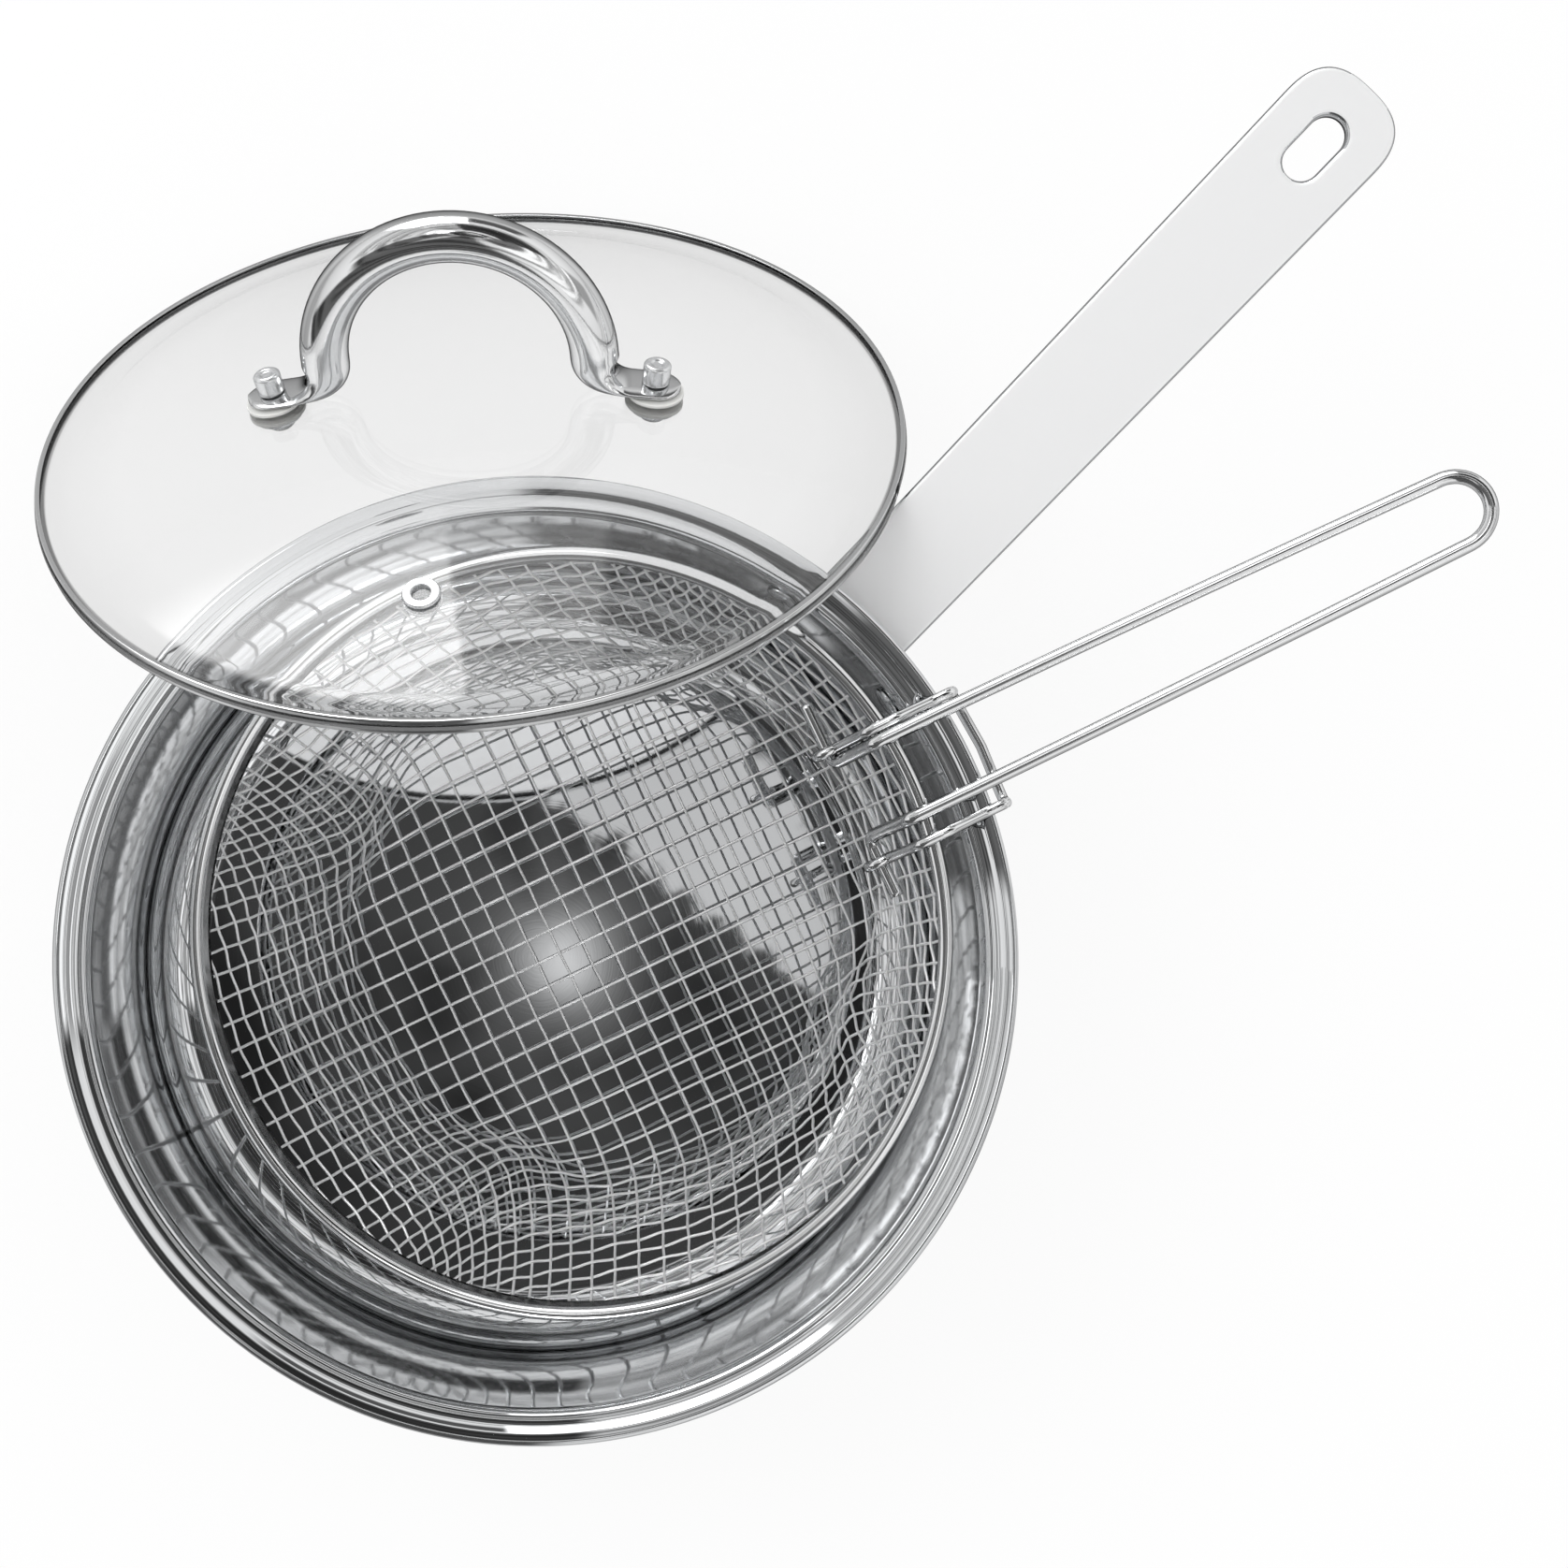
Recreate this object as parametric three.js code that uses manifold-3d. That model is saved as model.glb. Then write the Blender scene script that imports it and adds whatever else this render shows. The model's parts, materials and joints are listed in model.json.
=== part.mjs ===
// A deep fry pot: a polished steel pan with a strap handle, a wire basket that hangs from the pan's
// rim by a bent wire hanger, a fold-in wire handle on the basket, and a domed glass lid that stands on
// the table behind the pan and leans on its rim. Millimetres, +Z up, the table at zero. The origin is the
// middle of the pan's flat underside, and the strap handle points along +X.
import * as THREE from "three";
import { mergeVertices } from "three/addons/utils/BufferGeometryUtils.js";
import Module from "manifold-3d";

const wasm = await Module();
wasm.setup();

// Clearances and counts that all pieces share
const fitGap = 0.3; // between two pieces that seat on each other
const pivotGap = 0.4; // round a pin that turns
const cutOverrun = 2; // how far a cutting solid runs past what it cuts
const roundSteps = 48;
const smallSteps = 16;
const wireSides = 8;
const bendSteps = 4;
const weldDistance = 1e-4; // corners of a surface nearer than this are one
const sharpestMitre = 0.5; // the share of its length that a mitred corner keeps at least

// Pan body
const potHeight = 120;
const potRimRadius = 125;
const potFlare = 9; // how far the straight wall's inside stands in from the rim
const potSheet = 0.9;
const potCornerRadius = 16;
const lipHeight = 8; // from the end of the straight wall to the rim
const seatDepth = 4; // the lid's seat below the rim
const seatStep = 1.2; // the small riser outside the seat
const rimRoll = 1.3; // radius of the rolled edge

// Base: an aluminium core in a pressed steel cap
const baseInset = 19; // the base's edge, in from the inside of the pan's wall
const baseThickness = 5;
const baseSheet = 0.7;
const baseBevel = 1.2;

// Strap handle of the pan
const strapReach = 180.1; // from the pan's rim to the handle's end
const strapRootWidth = 28.2;
const strapTipWidth = 30.8;
const strapAside = 0.8; // its middle line, to the left of the pan's axis
const strapEndLength = 15; // the rounded end
const strapEndPower = 2.7; // how square the rounded end is
const strapSheet = 1.5;
const strapSkirt = 6; // height of the turned-down edges
const strapEdgeRound = 1.2;
const strapRiseDegrees = 10.5;
const strapDrop = 13.5; // the strap's upper face below the rim, at its root
const hangHoleInset = 19.5; // from the handle's end to the hang hole's middle
const hangHoleLength = 18.2;
const hangHoleWidth = 9.7;
const hangHoleRoll = 1.3;
const hangHoleCollar = 3.6; // height of the hang hole's turned-down edge

// Bracket and rivets that hold the strap handle
const saddleSheet = 1.8;
const saddleHalfDegrees = 14.5;
const saddleHeight = 24;
const tongueLength = 34;
const tongueSheet = 2;
const rivetDrop = 15.5; // below the rim
const rivetHalfDegrees = 9.7;
const rivetRadius = 2.4;
const rivetHeadRadius = 4.8;
const rivetHeadHeight = 1.8;
const rivetCrownRadius = 2.9; // the flat middle of the head

// Lid
const lidInset = 7; // the lid's edge, in from the pan's rim when it lies on its seat
const glassThickness = 3;
const domeRise = 18; // outer face of the glass over the lid's middle plane
const domeSteps = 7;
const glassFlange = 7; // the flat margin that the steel band grips
const bandSheet = 0.4;
const bandReach = 1.4; // how far the band comes in over the glass
const lidLeanDegrees = 44.7;
const lidLeanTurnDegrees = 49.9; // direction, seen from above, in which the lid leans away from the pan
const lidAside = 3.6; // sideways, to the left of that direction
const ventAside = 15;
const ventInset = 41; // in from the lid's upper edge
const ventBoreRadius = 1.7;
const ventTubeRadius = 2.6;
const ventFlangeRadius = 5;
const ventSheet = 0.8;

// Arch handle of the lid and its fastenings
const footSpread = 51; // from the lid's middle to each screw
const handleSpinDegrees = -7.9; // of the line through both screws, in the lid's plane
const archRadius = 35.9; // of the tube's centre line
const archTube = 6.5; // radius
const archLeg = 10; // straight part of each leg
const archSteps = 18;
const archSides = 14;
const footRadius = 6.8;
const footSheet = 2;
const gasketRadius = 7.8;
const gasketThickness = 1;
const washerRadius = 6.5;
const washerThickness = 1;
const screwRadius = 2.2;
const screwHeadRadius = 4.4;
const screwHeadHeight = 2.6;
const screwCrownRadius = 3.1;
const capNutRadius = 3.7;
const capNutHeight = 5.6;
const capNutRoof = 1.2;
const capNutCrown = 1.3; // the sloped edge round its top

// Basket
const basketPlay = 13.5; // from the rim band's outside to the inside of the pan's wall
const basketTaper = 38.5; // from the rim band's outside to the edge of the flat floor
const basketCornerRadius = 15;
const basketTiltDegrees = 11; // the handle side hangs higher
const basketTurnDegrees = -20.6; // direction of the basket's handle, seen from above
const basketForward = 8.4; // the rim's middle from the pan's axis, towards the handle
const basketAside = 2.7;
const basketDrop = 15.5; // the rim's middle below the pan's rim
const meshThickness = 1.6;
const meshPitch = 20;
const meshBar = 2;
const meshGap = 0.5; // between the mesh and its folded band
const rimBandSheet = 0.6;
const rimBandHeight = 9;
const rimBandTop = 1.5; // the band's upper edge over the rim's middle plane

// Hanger on the basket and the fold-in wire handle
const hookWire = 1.4; // radius
const hookSpread = 16; // half the distance between its two arms
const hookAside = -1.8; // the hanger sits a little to one side on the handle's pins
const hookReach = 2.4; // free space between the pan's rim and the hanger's cross bar
const hookLip = 6; // how far the cross bar hangs below the rim
const hookBend = 3;
const hookRise = 2.8; // each arm's corner, in from the band
const handleWire = 1.8; // radius
const handleSpread = 10.7; // half the distance between the legs where they cross the rim
const handleMidSpread = 10.3;
const handleMidReach = 175; // from the basket's axis
const handleTipSpread = 8.7;
const handleTipReach = 258.2; // from the basket's axis to the end of the handle
const handleTipRise = 9; // over the rim's middle plane
const pinInset = 18.6; // the pivot, in from the rim band's outside
const pinDrop = 11.7; // the pivot, below the rim's middle plane
const pinEnd = 28; // from the middle to the pin's free end
const handleBend = 3;
const handleRise = 5.4; // each leg's corner, in from the band
const handleSweep = 60; // bend radius where the legs start to close in

// Finishes
const polished = new THREE.MeshStandardMaterial({ color: 0xc9ccd0, roughness: 0.12, metalness: 1 });
const satin = new THREE.MeshStandardMaterial({ color: 0xb9bcc0, roughness: 0.3, metalness: 1 });
const wireSteel = new THREE.MeshStandardMaterial({ color: 0xc4c6c8, roughness: 0.25, metalness: 1 });
const coreMetal = new THREE.MeshStandardMaterial({ color: 0xd0d2d4, roughness: 0.45, metalness: 1 });
const clearGlass = new THREE.MeshStandardMaterial({
  color: 0xeaf0f0,
  roughness: 0.03,
  metalness: 0,
  transparent: true,
  opacity: 0.35,
});
const sealRubber = new THREE.MeshStandardMaterial({ color: 0xd8d8d4, roughness: 0.6, metalness: 0 });

const radians = THREE.MathUtils.degToRad;
const quarterTurn = Math.PI / 2;
const vec2 = (x, y) => new THREE.Vector2(x, y);
const vec3 = (x, y, z) => new THREE.Vector3(x, y, z);

// A geometry as a solid: only positions, shared corners merged, flat triangles dropped.
function solid(geometry) {
  const bare = new THREE.BufferGeometry();
  bare.setAttribute("position", geometry.getAttribute("position"));
  if (geometry.index) bare.setIndex(geometry.index);
  const merged = mergeVertices(bare, weldDistance);
  const index = merged.index.array;
  const kept = [];
  for (let i = 0; i < index.length; i += 3) {
    const [a, b, c] = [index[i], index[i + 1], index[i + 2]];
    if (a !== b && b !== c && c !== a) kept.push(a, b, c);
  }
  return new wasm.Manifold(
    new wasm.Mesh({
      numProp: 3,
      vertProperties: merged.getAttribute("position").array,
      triVerts: new Uint32Array(kept),
    }),
  );
}

// A solid back as a geometry.
function surface(body) {
  const mesh = body.getMesh();
  const geometry = new THREE.BufferGeometry();
  geometry.setAttribute("position", new THREE.BufferAttribute(mesh.vertProperties, 3));
  geometry.setIndex(new THREE.BufferAttribute(mesh.triVerts, 1));
  return geometry;
}

const join = (first, ...others) =>
  surface(others.reduce((sum, next) => sum.add(solid(next)), solid(first)));

const cut = (first, ...tools) =>
  surface(tools.reduce((rest, tool) => rest.subtract(solid(tool)), solid(first)));

// Turns a closed outline of (radius, height) points round the Z axis.
function revolve(outline, steps = roundSteps) {
  const closed = [...outline];
  const onAxis = closed[0].x === 0 && closed[closed.length - 1].x === 0;
  if (THREE.ShapeUtils.area(closed) < 0) closed.reverse();
  if (!onAxis) closed.push(closed[0].clone());
  const geometry = new THREE.LatheGeometry(closed, steps);
  geometry.rotateX(quarterTurn);
  return surface(solid(geometry));
}

// The points of a line moved sideways by a distance, with mitred corners.
function offsetLine(points, distance) {
  return points.map((point, i) => {
    const before = points[Math.max(i - 1, 0)];
    const after = points[Math.min(i + 1, points.length - 1)];
    const into = point.clone().sub(before).normalize();
    const out = after.clone().sub(point).normalize();
    const along = into.length() === 0 ? out : out.length() === 0 ? into : into.clone().add(out).normalize();
    const mitre = 1 / Math.max(along.dot(out.length() === 0 ? into : out), sharpestMitre);
    return point.clone().add(vec2(-along.y, along.x).multiplyScalar(distance * mitre));
  });
}

// A sheet of even thickness pressed along a centre line of (radius, height) points, turned round Z.
function pressed(centreLine, thickness, steps = roundSteps) {
  const onAxis = centreLine[0].x === 0;
  const left = offsetLine(centreLine, thickness / 2);
  const right = offsetLine(centreLine, -thickness / 2);
  if (onAxis) left[0].x = right[0].x = 0;
  return revolve([...left, ...right.reverse()], steps);
}

// Points of an arc, from one angle to another, about a centre.
function arcPoints(centre, radius, from, to, steps) {
  const points = [];
  for (let i = 0; i <= steps; i++) {
    const angle = from + ((to - from) * i) / steps;
    points.push(vec2(centre.x + radius * Math.cos(angle), centre.y + radius * Math.sin(angle)));
  }
  return points;
}

// A regular outline of so many sides, for round wires, shanks and holes.
function roundOutline(radius, sides) {
  return new THREE.Shape(arcPoints(vec2(0, 0), radius, 0, 2 * Math.PI, sides).slice(0, sides));
}

// A round bar along +Z.
function bar(radius, low, high, sides = smallSteps) {
  const geometry = new THREE.ExtrudeGeometry(roundOutline(radius, sides), {
    depth: high - low,
    bevelEnabled: false,
  });
  geometry.translate(0, 0, low);
  return geometry;
}

// A path through given points, one step for each, with the tangent halved between neighbours.
class PointPath extends THREE.Curve {
  constructor(points) {
    super();
    this.points = points;
  }
  getPoint(t) {
    const place = t * (this.points.length - 1);
    const i = Math.min(Math.floor(place), this.points.length - 2);
    return this.points[i].clone().lerp(this.points[i + 1], place - i);
  }
  getPointAt(u) {
    return this.getPoint(u);
  }
  getTangent(t) {
    const last = this.points.length - 1;
    const i = Math.round(t * last);
    const into = this.points[i].clone().sub(this.points[Math.max(i - 1, 0)]).normalize();
    const out = this.points[Math.min(i + 1, last)].clone().sub(this.points[i]).normalize();
    return into.add(out).normalize();
  }
  getTangentAt(u) {
    return this.getTangent(u);
  }
}

// A route with each inner corner rounded to a bend radius, or as near to it as its legs allow.
function bentRoute(corners, bend) {
  const route = [corners[0]];
  for (let i = 1; i < corners.length - 1; i++) {
    const back = corners[i - 1].clone().sub(corners[i]);
    const ahead = corners[i + 1].clone().sub(corners[i]);
    const room = Math.min(back.length(), ahead.length()) / 2;
    const turn = Math.PI - back.angleTo(ahead);
    const setback = Math.min(bend * Math.tan(turn / 2), room);
    const start = corners[i].clone().add(back.setLength(setback));
    const end = corners[i].clone().add(ahead.setLength(setback));
    const curve = new THREE.QuadraticBezierCurve3(start, corners[i], end);
    route.push(...curve.getPoints(bendSteps));
  }
  route.push(corners[corners.length - 1]);
  return route;
}

// A bar of a given section along a route.
function sweep(section, route) {
  return new THREE.ExtrudeGeometry(section, {
    steps: route.length - 1,
    bevelEnabled: false,
    extrudePath: new PointPath(route),
  });
}

const wire = (radius, route) => sweep(roundOutline(radius, wireSides), route);

function piece(name, geometry, material) {
  const mesh = new THREE.Mesh(geometry, material);
  mesh.name = name;
  return mesh;
}

// Radii and reaches that follow the pan's rim, from its axis or from the lid's or basket's own
const potBoreRadius = potRimRadius - potFlare; // inside of the straight wall
const baseRadius = potBoreRadius - baseInset;
const strapTipRadius = potRimRadius + strapReach;
const hangHoleDistance = strapTipRadius - hangHoleInset;
const lidRadius = potRimRadius - lidInset;
const ventReach = lidRadius - ventInset; // from the lid's middle towards its upper edge
const basketRadius = potBoreRadius - basketPlay;
const basketFlatRadius = basketRadius - basketTaper;

// The pan, its base and its strap handle

const potFloor = baseThickness + fitGap; // underside of the pressed body
const potOuterRadius = potBoreRadius + potSheet;
const seatRadius = lidRadius + fitGap;

function potBody() {
  const wall = potBoreRadius + potSheet / 2;
  const floor = potFloor + potSheet / 2;
  const bend = potCornerRadius + potSheet / 2;
  const rimMiddle = rimRoll - potSheet / 2;
  const lipStart = potHeight - lipHeight;
  const seat = potHeight - seatDepth - potSheet / 2;
  const flare = new THREE.QuadraticBezierCurve(vec2(wall, lipStart), vec2(wall, seat), vec2(seatRadius, seat));
  const riser = vec2(seatRadius + seatStep / 2, seat + seatStep);
  const line = [
    vec2(0, floor),
    ...arcPoints(vec2(wall - bend, floor + bend), bend, -quarterTurn, 0, bendSteps + 1),
    ...flare.getPoints(bendSteps),
    riser,
    ...arcPoints(
      vec2(potRimRadius - rimRoll, potHeight - rimRoll),
      rimMiddle,
      quarterTurn,
      -quarterTurn,
      bendSteps,
    ),
  ];
  const holes = [-1, 1].map((side) => {
    const hole = bar(rivetRadius + fitGap, potBoreRadius - cutOverrun, potOuterRadius + cutOverrun);
    return rivetPlaced(hole, side);
  });
  return cut(pressed(line, potSheet), ...holes);
}

// Lays a piece made along +Z on a rivet's radial axis.
function rivetPlaced(geometry, side) {
  geometry.rotateY(quarterTurn);
  geometry.rotateZ(side * radians(rivetHalfDegrees));
  geometry.translate(0, 0, potHeight - rivetDrop);
  return geometry;
}

function baseCap() {
  const middle = baseSheet / 2;
  const line = [
    vec2(0, middle),
    vec2(baseRadius - baseBevel - middle, middle),
    vec2(baseRadius - middle, baseBevel + middle),
    vec2(baseRadius - middle, baseThickness),
  ];
  return pressed(line, baseSheet);
}

function baseCore() {
  const radius = baseRadius - baseSheet - fitGap;
  const low = baseSheet + fitGap;
  return revolve([
    vec2(0, low),
    vec2(radius - baseBevel, low),
    vec2(radius, low + baseBevel),
    vec2(radius, baseThickness),
    vec2(0, baseThickness),
  ]);
}

const strapRoot = potOuterRadius + fitGap + saddleSheet + fitGap; // radius where the strap starts
const strapRise = radians(strapRiseDegrees);
const strapLength = (strapTipRadius - strapRoot) / Math.cos(strapRise);

// The strap's outline seen from above, drawn in by an inset, from its root at zero.
function strapOutline(inset, rootOverrun) {
  const tip = strapTipWidth / 2 - inset;
  const root = strapRootWidth / 2 - inset;
  const endStart = strapLength - strapEndLength;
  const points = [vec2(-rootOverrun, -root)];
  for (let i = 0; i <= archSteps; i++) {
    const angle = -quarterTurn + (Math.PI * i) / archSteps;
    const [c, s] = [Math.cos(angle), Math.sin(angle)];
    const x = endStart + (strapEndLength - inset) * Math.abs(c) ** (2 / strapEndPower);
    points.push(vec2(x, tip * Math.sign(s) * Math.abs(s) ** (2 / strapEndPower)));
  }
  points.push(vec2(-rootOverrun, root));
  return new THREE.Shape(points);
}

// A slot with round ends, centred on the hang hole, grown by a margin.
function hangSlot(margin) {
  const radius = hangHoleWidth / 2 + margin;
  const reach = (hangHoleLength - hangHoleWidth) / 2;
  const middle = (hangHoleDistance - strapRoot) / Math.cos(strapRise);
  return new THREE.Shape([
    ...arcPoints(vec2(middle + reach, 0), radius, -quarterTurn, quarterTurn, bendSteps * 2),
    ...arcPoints(vec2(middle - reach, 0), radius, quarterTurn, 3 * quarterTurn, bendSteps * 2),
  ]);
}

// A flat shape as a slab between two heights.
function slab(shape, low, high) {
  const geometry = new THREE.ExtrudeGeometry(shape, { depth: high - low, bevelEnabled: false });
  geometry.translate(0, 0, low);
  return geometry;
}

function strapHandle() {
  const block = new THREE.ExtrudeGeometry(strapOutline(0, 0), {
    depth: strapSkirt,
    bevelThickness: strapEdgeRound,
    bevelSize: strapEdgeRound,
    bevelOffset: -strapEdgeRound,
    bevelSegments: 2,
  });
  block.translate(0, 0, -strapSkirt - strapEdgeRound);
  const far = strapLength * 2;
  const under = new THREE.BoxGeometry(far, far, strapSkirt);
  under.translate(0, 0, -strapSkirt - strapSkirt / 2);
  const pocket = slab(strapOutline(strapSheet, cutOverrun), -strapSkirt - cutOverrun, -strapSheet);
  const collar = slab(hangSlot(hangHoleRoll), -hangHoleCollar, -strapSheet / 2);
  const hole = slab(hangSlot(0), -strapSkirt - cutOverrun, cutOverrun);
  return cut(join(cut(block, under, pocket), collar), hole);
}

// The strap's own frame in the pan's: its root on the upper face, x along the strap.
function strapFrame() {
  const turn = new THREE.Matrix4().makeRotationY(-strapRise);
  return turn.setPosition(strapRoot, strapAside, potHeight - strapDrop);
}

function handleBracket() {
  const inner = potOuterRadius + fitGap;
  const outer = inner + saddleSheet;
  const half = radians(saddleHalfDegrees);
  const steps = bendSteps * 2;
  const plate = slab(
    new THREE.Shape([
      ...arcPoints(vec2(0, 0), outer, -half, half, steps),
      ...arcPoints(vec2(0, 0), inner / Math.cos(half / steps), half, -half, steps),
    ]),
    potHeight - lipHeight - saddleHeight,
    potHeight - lipHeight,
  );
  const width = strapRootWidth - 2 * strapSheet - 2 * fitGap;
  const top = -strapSheet - fitGap;
  const tongue = new THREE.BoxGeometry(tongueLength + saddleSheet, width, tongueSheet);
  tongue.translate((tongueLength - saddleSheet) / 2, 0, top - tongueSheet / 2);
  tongue.applyMatrix4(strapFrame());
  const holes = [-1, 1].map((side) =>
    rivetPlaced(bar(rivetRadius + fitGap, inner - cutOverrun, outer + cutOverrun), side),
  );
  return cut(join(plate, tongue), ...holes);
}

// A rivet along +Z: a low dome inside the pan, the shank, and a low dome on the bracket.
function rivet(side) {
  const inside = potBoreRadius * Math.cos(Math.PI / roundSteps) - fitGap;
  const outside = potOuterRadius + fitGap + saddleSheet + fitGap;
  const shoulder = rivetHeadHeight / 2;
  const outline = [
    vec2(0, inside - rivetHeadHeight),
    vec2(rivetCrownRadius, inside - rivetHeadHeight),
    vec2(rivetHeadRadius, inside - shoulder),
    vec2(rivetHeadRadius, inside),
    vec2(rivetRadius, inside),
    vec2(rivetRadius, outside),
    vec2(rivetHeadRadius, outside),
    vec2(rivetHeadRadius, outside + shoulder),
    vec2(rivetCrownRadius, outside + rivetHeadHeight),
    vec2(0, outside + rivetHeadHeight),
  ];
  return rivetPlaced(revolve(outline, smallSteps), side);
}

// The lid

const bandHalf = glassThickness / 2 + fitGap + bandSheet; // half the height of the steel band
const glassRadius = lidRadius - bandSheet - fitGap;
const domeBase = glassRadius - glassFlange;
const domeCentreRise = domeRise - glassThickness / 2; // of the glass's middle surface
const domeBall = (domeBase ** 2 + domeCentreRise ** 2) / (2 * domeCentreRise);
const lidLean = radians(lidLeanDegrees);

// Height of the glass's middle surface at a distance from the lid's axis, and its slope angle.
const domeHeight = (q) => (q < domeBase ? domeCentreRise - domeBall + Math.sqrt(domeBall ** 2 - q ** 2) : 0);
const domeSlope = (q) => Math.asin(q / domeBall);

function lidGlass() {
  const line = [];
  for (let i = 0; i <= domeSteps; i++) {
    const q = (domeBase * i) / domeSteps;
    line.push(vec2(q, domeHeight(q)));
  }
  line.push(vec2(glassRadius, 0));
  const screwHoles = [-1, 1].map((side) =>
    footPlaced(bar(screwRadius + fitGap, -glassThickness, glassThickness), side),
  );
  const ventHole = ventPlaced(bar(ventTubeRadius + fitGap, -glassThickness, glassThickness));
  return cut(pressed(line, glassThickness), ...screwHoles, ventHole);
}

function lidBand() {
  const inner = bandHalf - bandSheet;
  const wall = lidRadius - bandSheet;
  const tip = lidRadius - bandReach;
  const soft = bandSheet / 2;
  return revolve([
    vec2(tip, bandHalf),
    vec2(lidRadius - soft, bandHalf),
    vec2(lidRadius, bandHalf - soft),
    vec2(lidRadius, soft - bandHalf),
    vec2(lidRadius - soft, -bandHalf),
    vec2(tip, -bandHalf),
    vec2(tip, -inner),
    vec2(wall, -inner),
    vec2(wall, inner),
    vec2(tip, inner),
  ]);
}

// Lays a piece made along +Z on a screw's axis, which stands square on the glass.
function footPlaced(geometry, side) {
  geometry.rotateY(side * domeSlope(footSpread));
  geometry.translate(side * footSpread, 0, domeHeight(footSpread));
  geometry.rotateZ(radians(handleSpinDegrees));
  return geometry;
}

// The same for the steam vent.
function ventPlaced(geometry) {
  const reach = Math.hypot(ventAside, ventReach);
  const turn = Math.atan2(ventReach, ventAside);
  geometry.rotateY(domeSlope(reach));
  geometry.translate(reach, 0, domeHeight(reach));
  geometry.rotateZ(turn);
  return geometry;
}

// Heights along a screw's axis, from the middle of the glass
const outerGasketLow = glassThickness / 2 + fitGap;
const footLow = outerGasketLow + gasketThickness + fitGap;
const capNutLow = footLow + footSheet + fitGap;
const capNutTop = capNutLow + capNutHeight;
const glassBow = gasketRadius ** 2 / domeBall; // the hollow side of the glass comes nearer by this
const innerGasketHigh = -glassThickness / 2 - fitGap - glassBow;
const washerHigh = innerGasketHigh - gasketThickness - fitGap;
const screwHeadHigh = washerHigh - washerThickness - fitGap;

function ring(inner, outer, low, high) {
  return revolve([vec2(inner, low), vec2(outer, low), vec2(outer, high), vec2(inner, high)], smallSteps);
}

function lidHandle() {
  const base = domeHeight(footSpread) + footLow + footSheet / 2;
  const route = [vec3(-archRadius, 0, base)];
  for (let i = 0; i <= archSteps; i++) {
    const angle = Math.PI - (Math.PI * i) / archSteps;
    const rise = base + archLeg + archRadius * Math.sin(angle);
    route.push(vec3(archRadius * Math.cos(angle), 0, rise));
  }
  route.push(vec3(archRadius, 0, base));
  const arch = sweep(roundOutline(archTube, archSides), route);
  arch.rotateZ(radians(handleSpinDegrees));
  const lugs = [-1, 1].map((side) => {
    const back = archRadius - footSpread;
    const lugShape = new THREE.Shape([
      ...arcPoints(vec2(0, 0), footRadius, -quarterTurn, quarterTurn, wireSides),
      vec2(back, footRadius),
      vec2(back, -footRadius),
    ]);
    const lug = slab(lugShape, footLow, footLow + footSheet);
    if (side < 0) lug.rotateZ(Math.PI);
    return footPlaced(lug, side);
  });
  const holes = [-1, 1].map((side) =>
    footPlaced(bar(screwRadius + fitGap, footLow - cutOverrun, capNutLow + cutOverrun), side),
  );
  const trim = archTube * 3;
  const tubeTrims = [-1, 1].map((side) => footPlaced(bar(trim, footLow - trim, footLow), side));
  return cut(join(arch, ...lugs), ...holes, ...tubeTrims);
}

function capNut(side) {
  const boreTop = capNutTop - capNutRoof;
  const bore = screwRadius + fitGap;
  const outline = [
    vec2(bore, capNutLow),
    vec2(capNutRadius, capNutLow),
    vec2(capNutRadius, capNutTop - capNutCrown),
    vec2(capNutRadius - capNutCrown, capNutTop),
    vec2(0, capNutTop),
    vec2(0, boreTop),
    vec2(bore, boreTop),
  ];
  return footPlaced(surface(solid(lathe(outline))), side);
}

// An outline that starts off the axis, touches it, and closes on itself.
function lathe(outline) {
  const closed = [...outline, outline[0].clone()];
  if (THREE.ShapeUtils.area(outline) < 0) closed.reverse();
  const geometry = new THREE.LatheGeometry(closed, smallSteps);
  geometry.rotateX(quarterTurn);
  return geometry;
}

function lidScrew(side) {
  const tip = capNutTop - capNutRoof - fitGap;
  const low = screwHeadHigh - screwHeadHeight;
  const outline = [
    vec2(0, low),
    vec2(screwCrownRadius, low),
    vec2(screwHeadRadius, low + screwHeadHeight / 2),
    vec2(screwHeadRadius, screwHeadHigh),
    vec2(screwRadius, screwHeadHigh),
    vec2(screwRadius, tip),
    vec2(0, tip),
  ];
  return footPlaced(revolve(outline, smallSteps), side);
}

function ventEyelet() {
  const face = glassThickness / 2 + fitGap;
  const low = -face - ventSheet - fitGap - ventSheet;
  const outline = [
    vec2(ventBoreRadius, low),
    vec2(ventTubeRadius, low),
    vec2(ventTubeRadius, face),
    vec2(ventFlangeRadius, face),
    vec2(ventFlangeRadius - ventSheet / 2, face + ventSheet),
    vec2(ventBoreRadius, face + ventSheet),
  ];
  return ventPlaced(revolve(outline, smallSteps));
}

function ventRing() {
  const high = -glassThickness / 2 - fitGap;
  return ventPlaced(ring(ventTubeRadius + fitGap, ventFlangeRadius, high - ventSheet, high));
}

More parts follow.
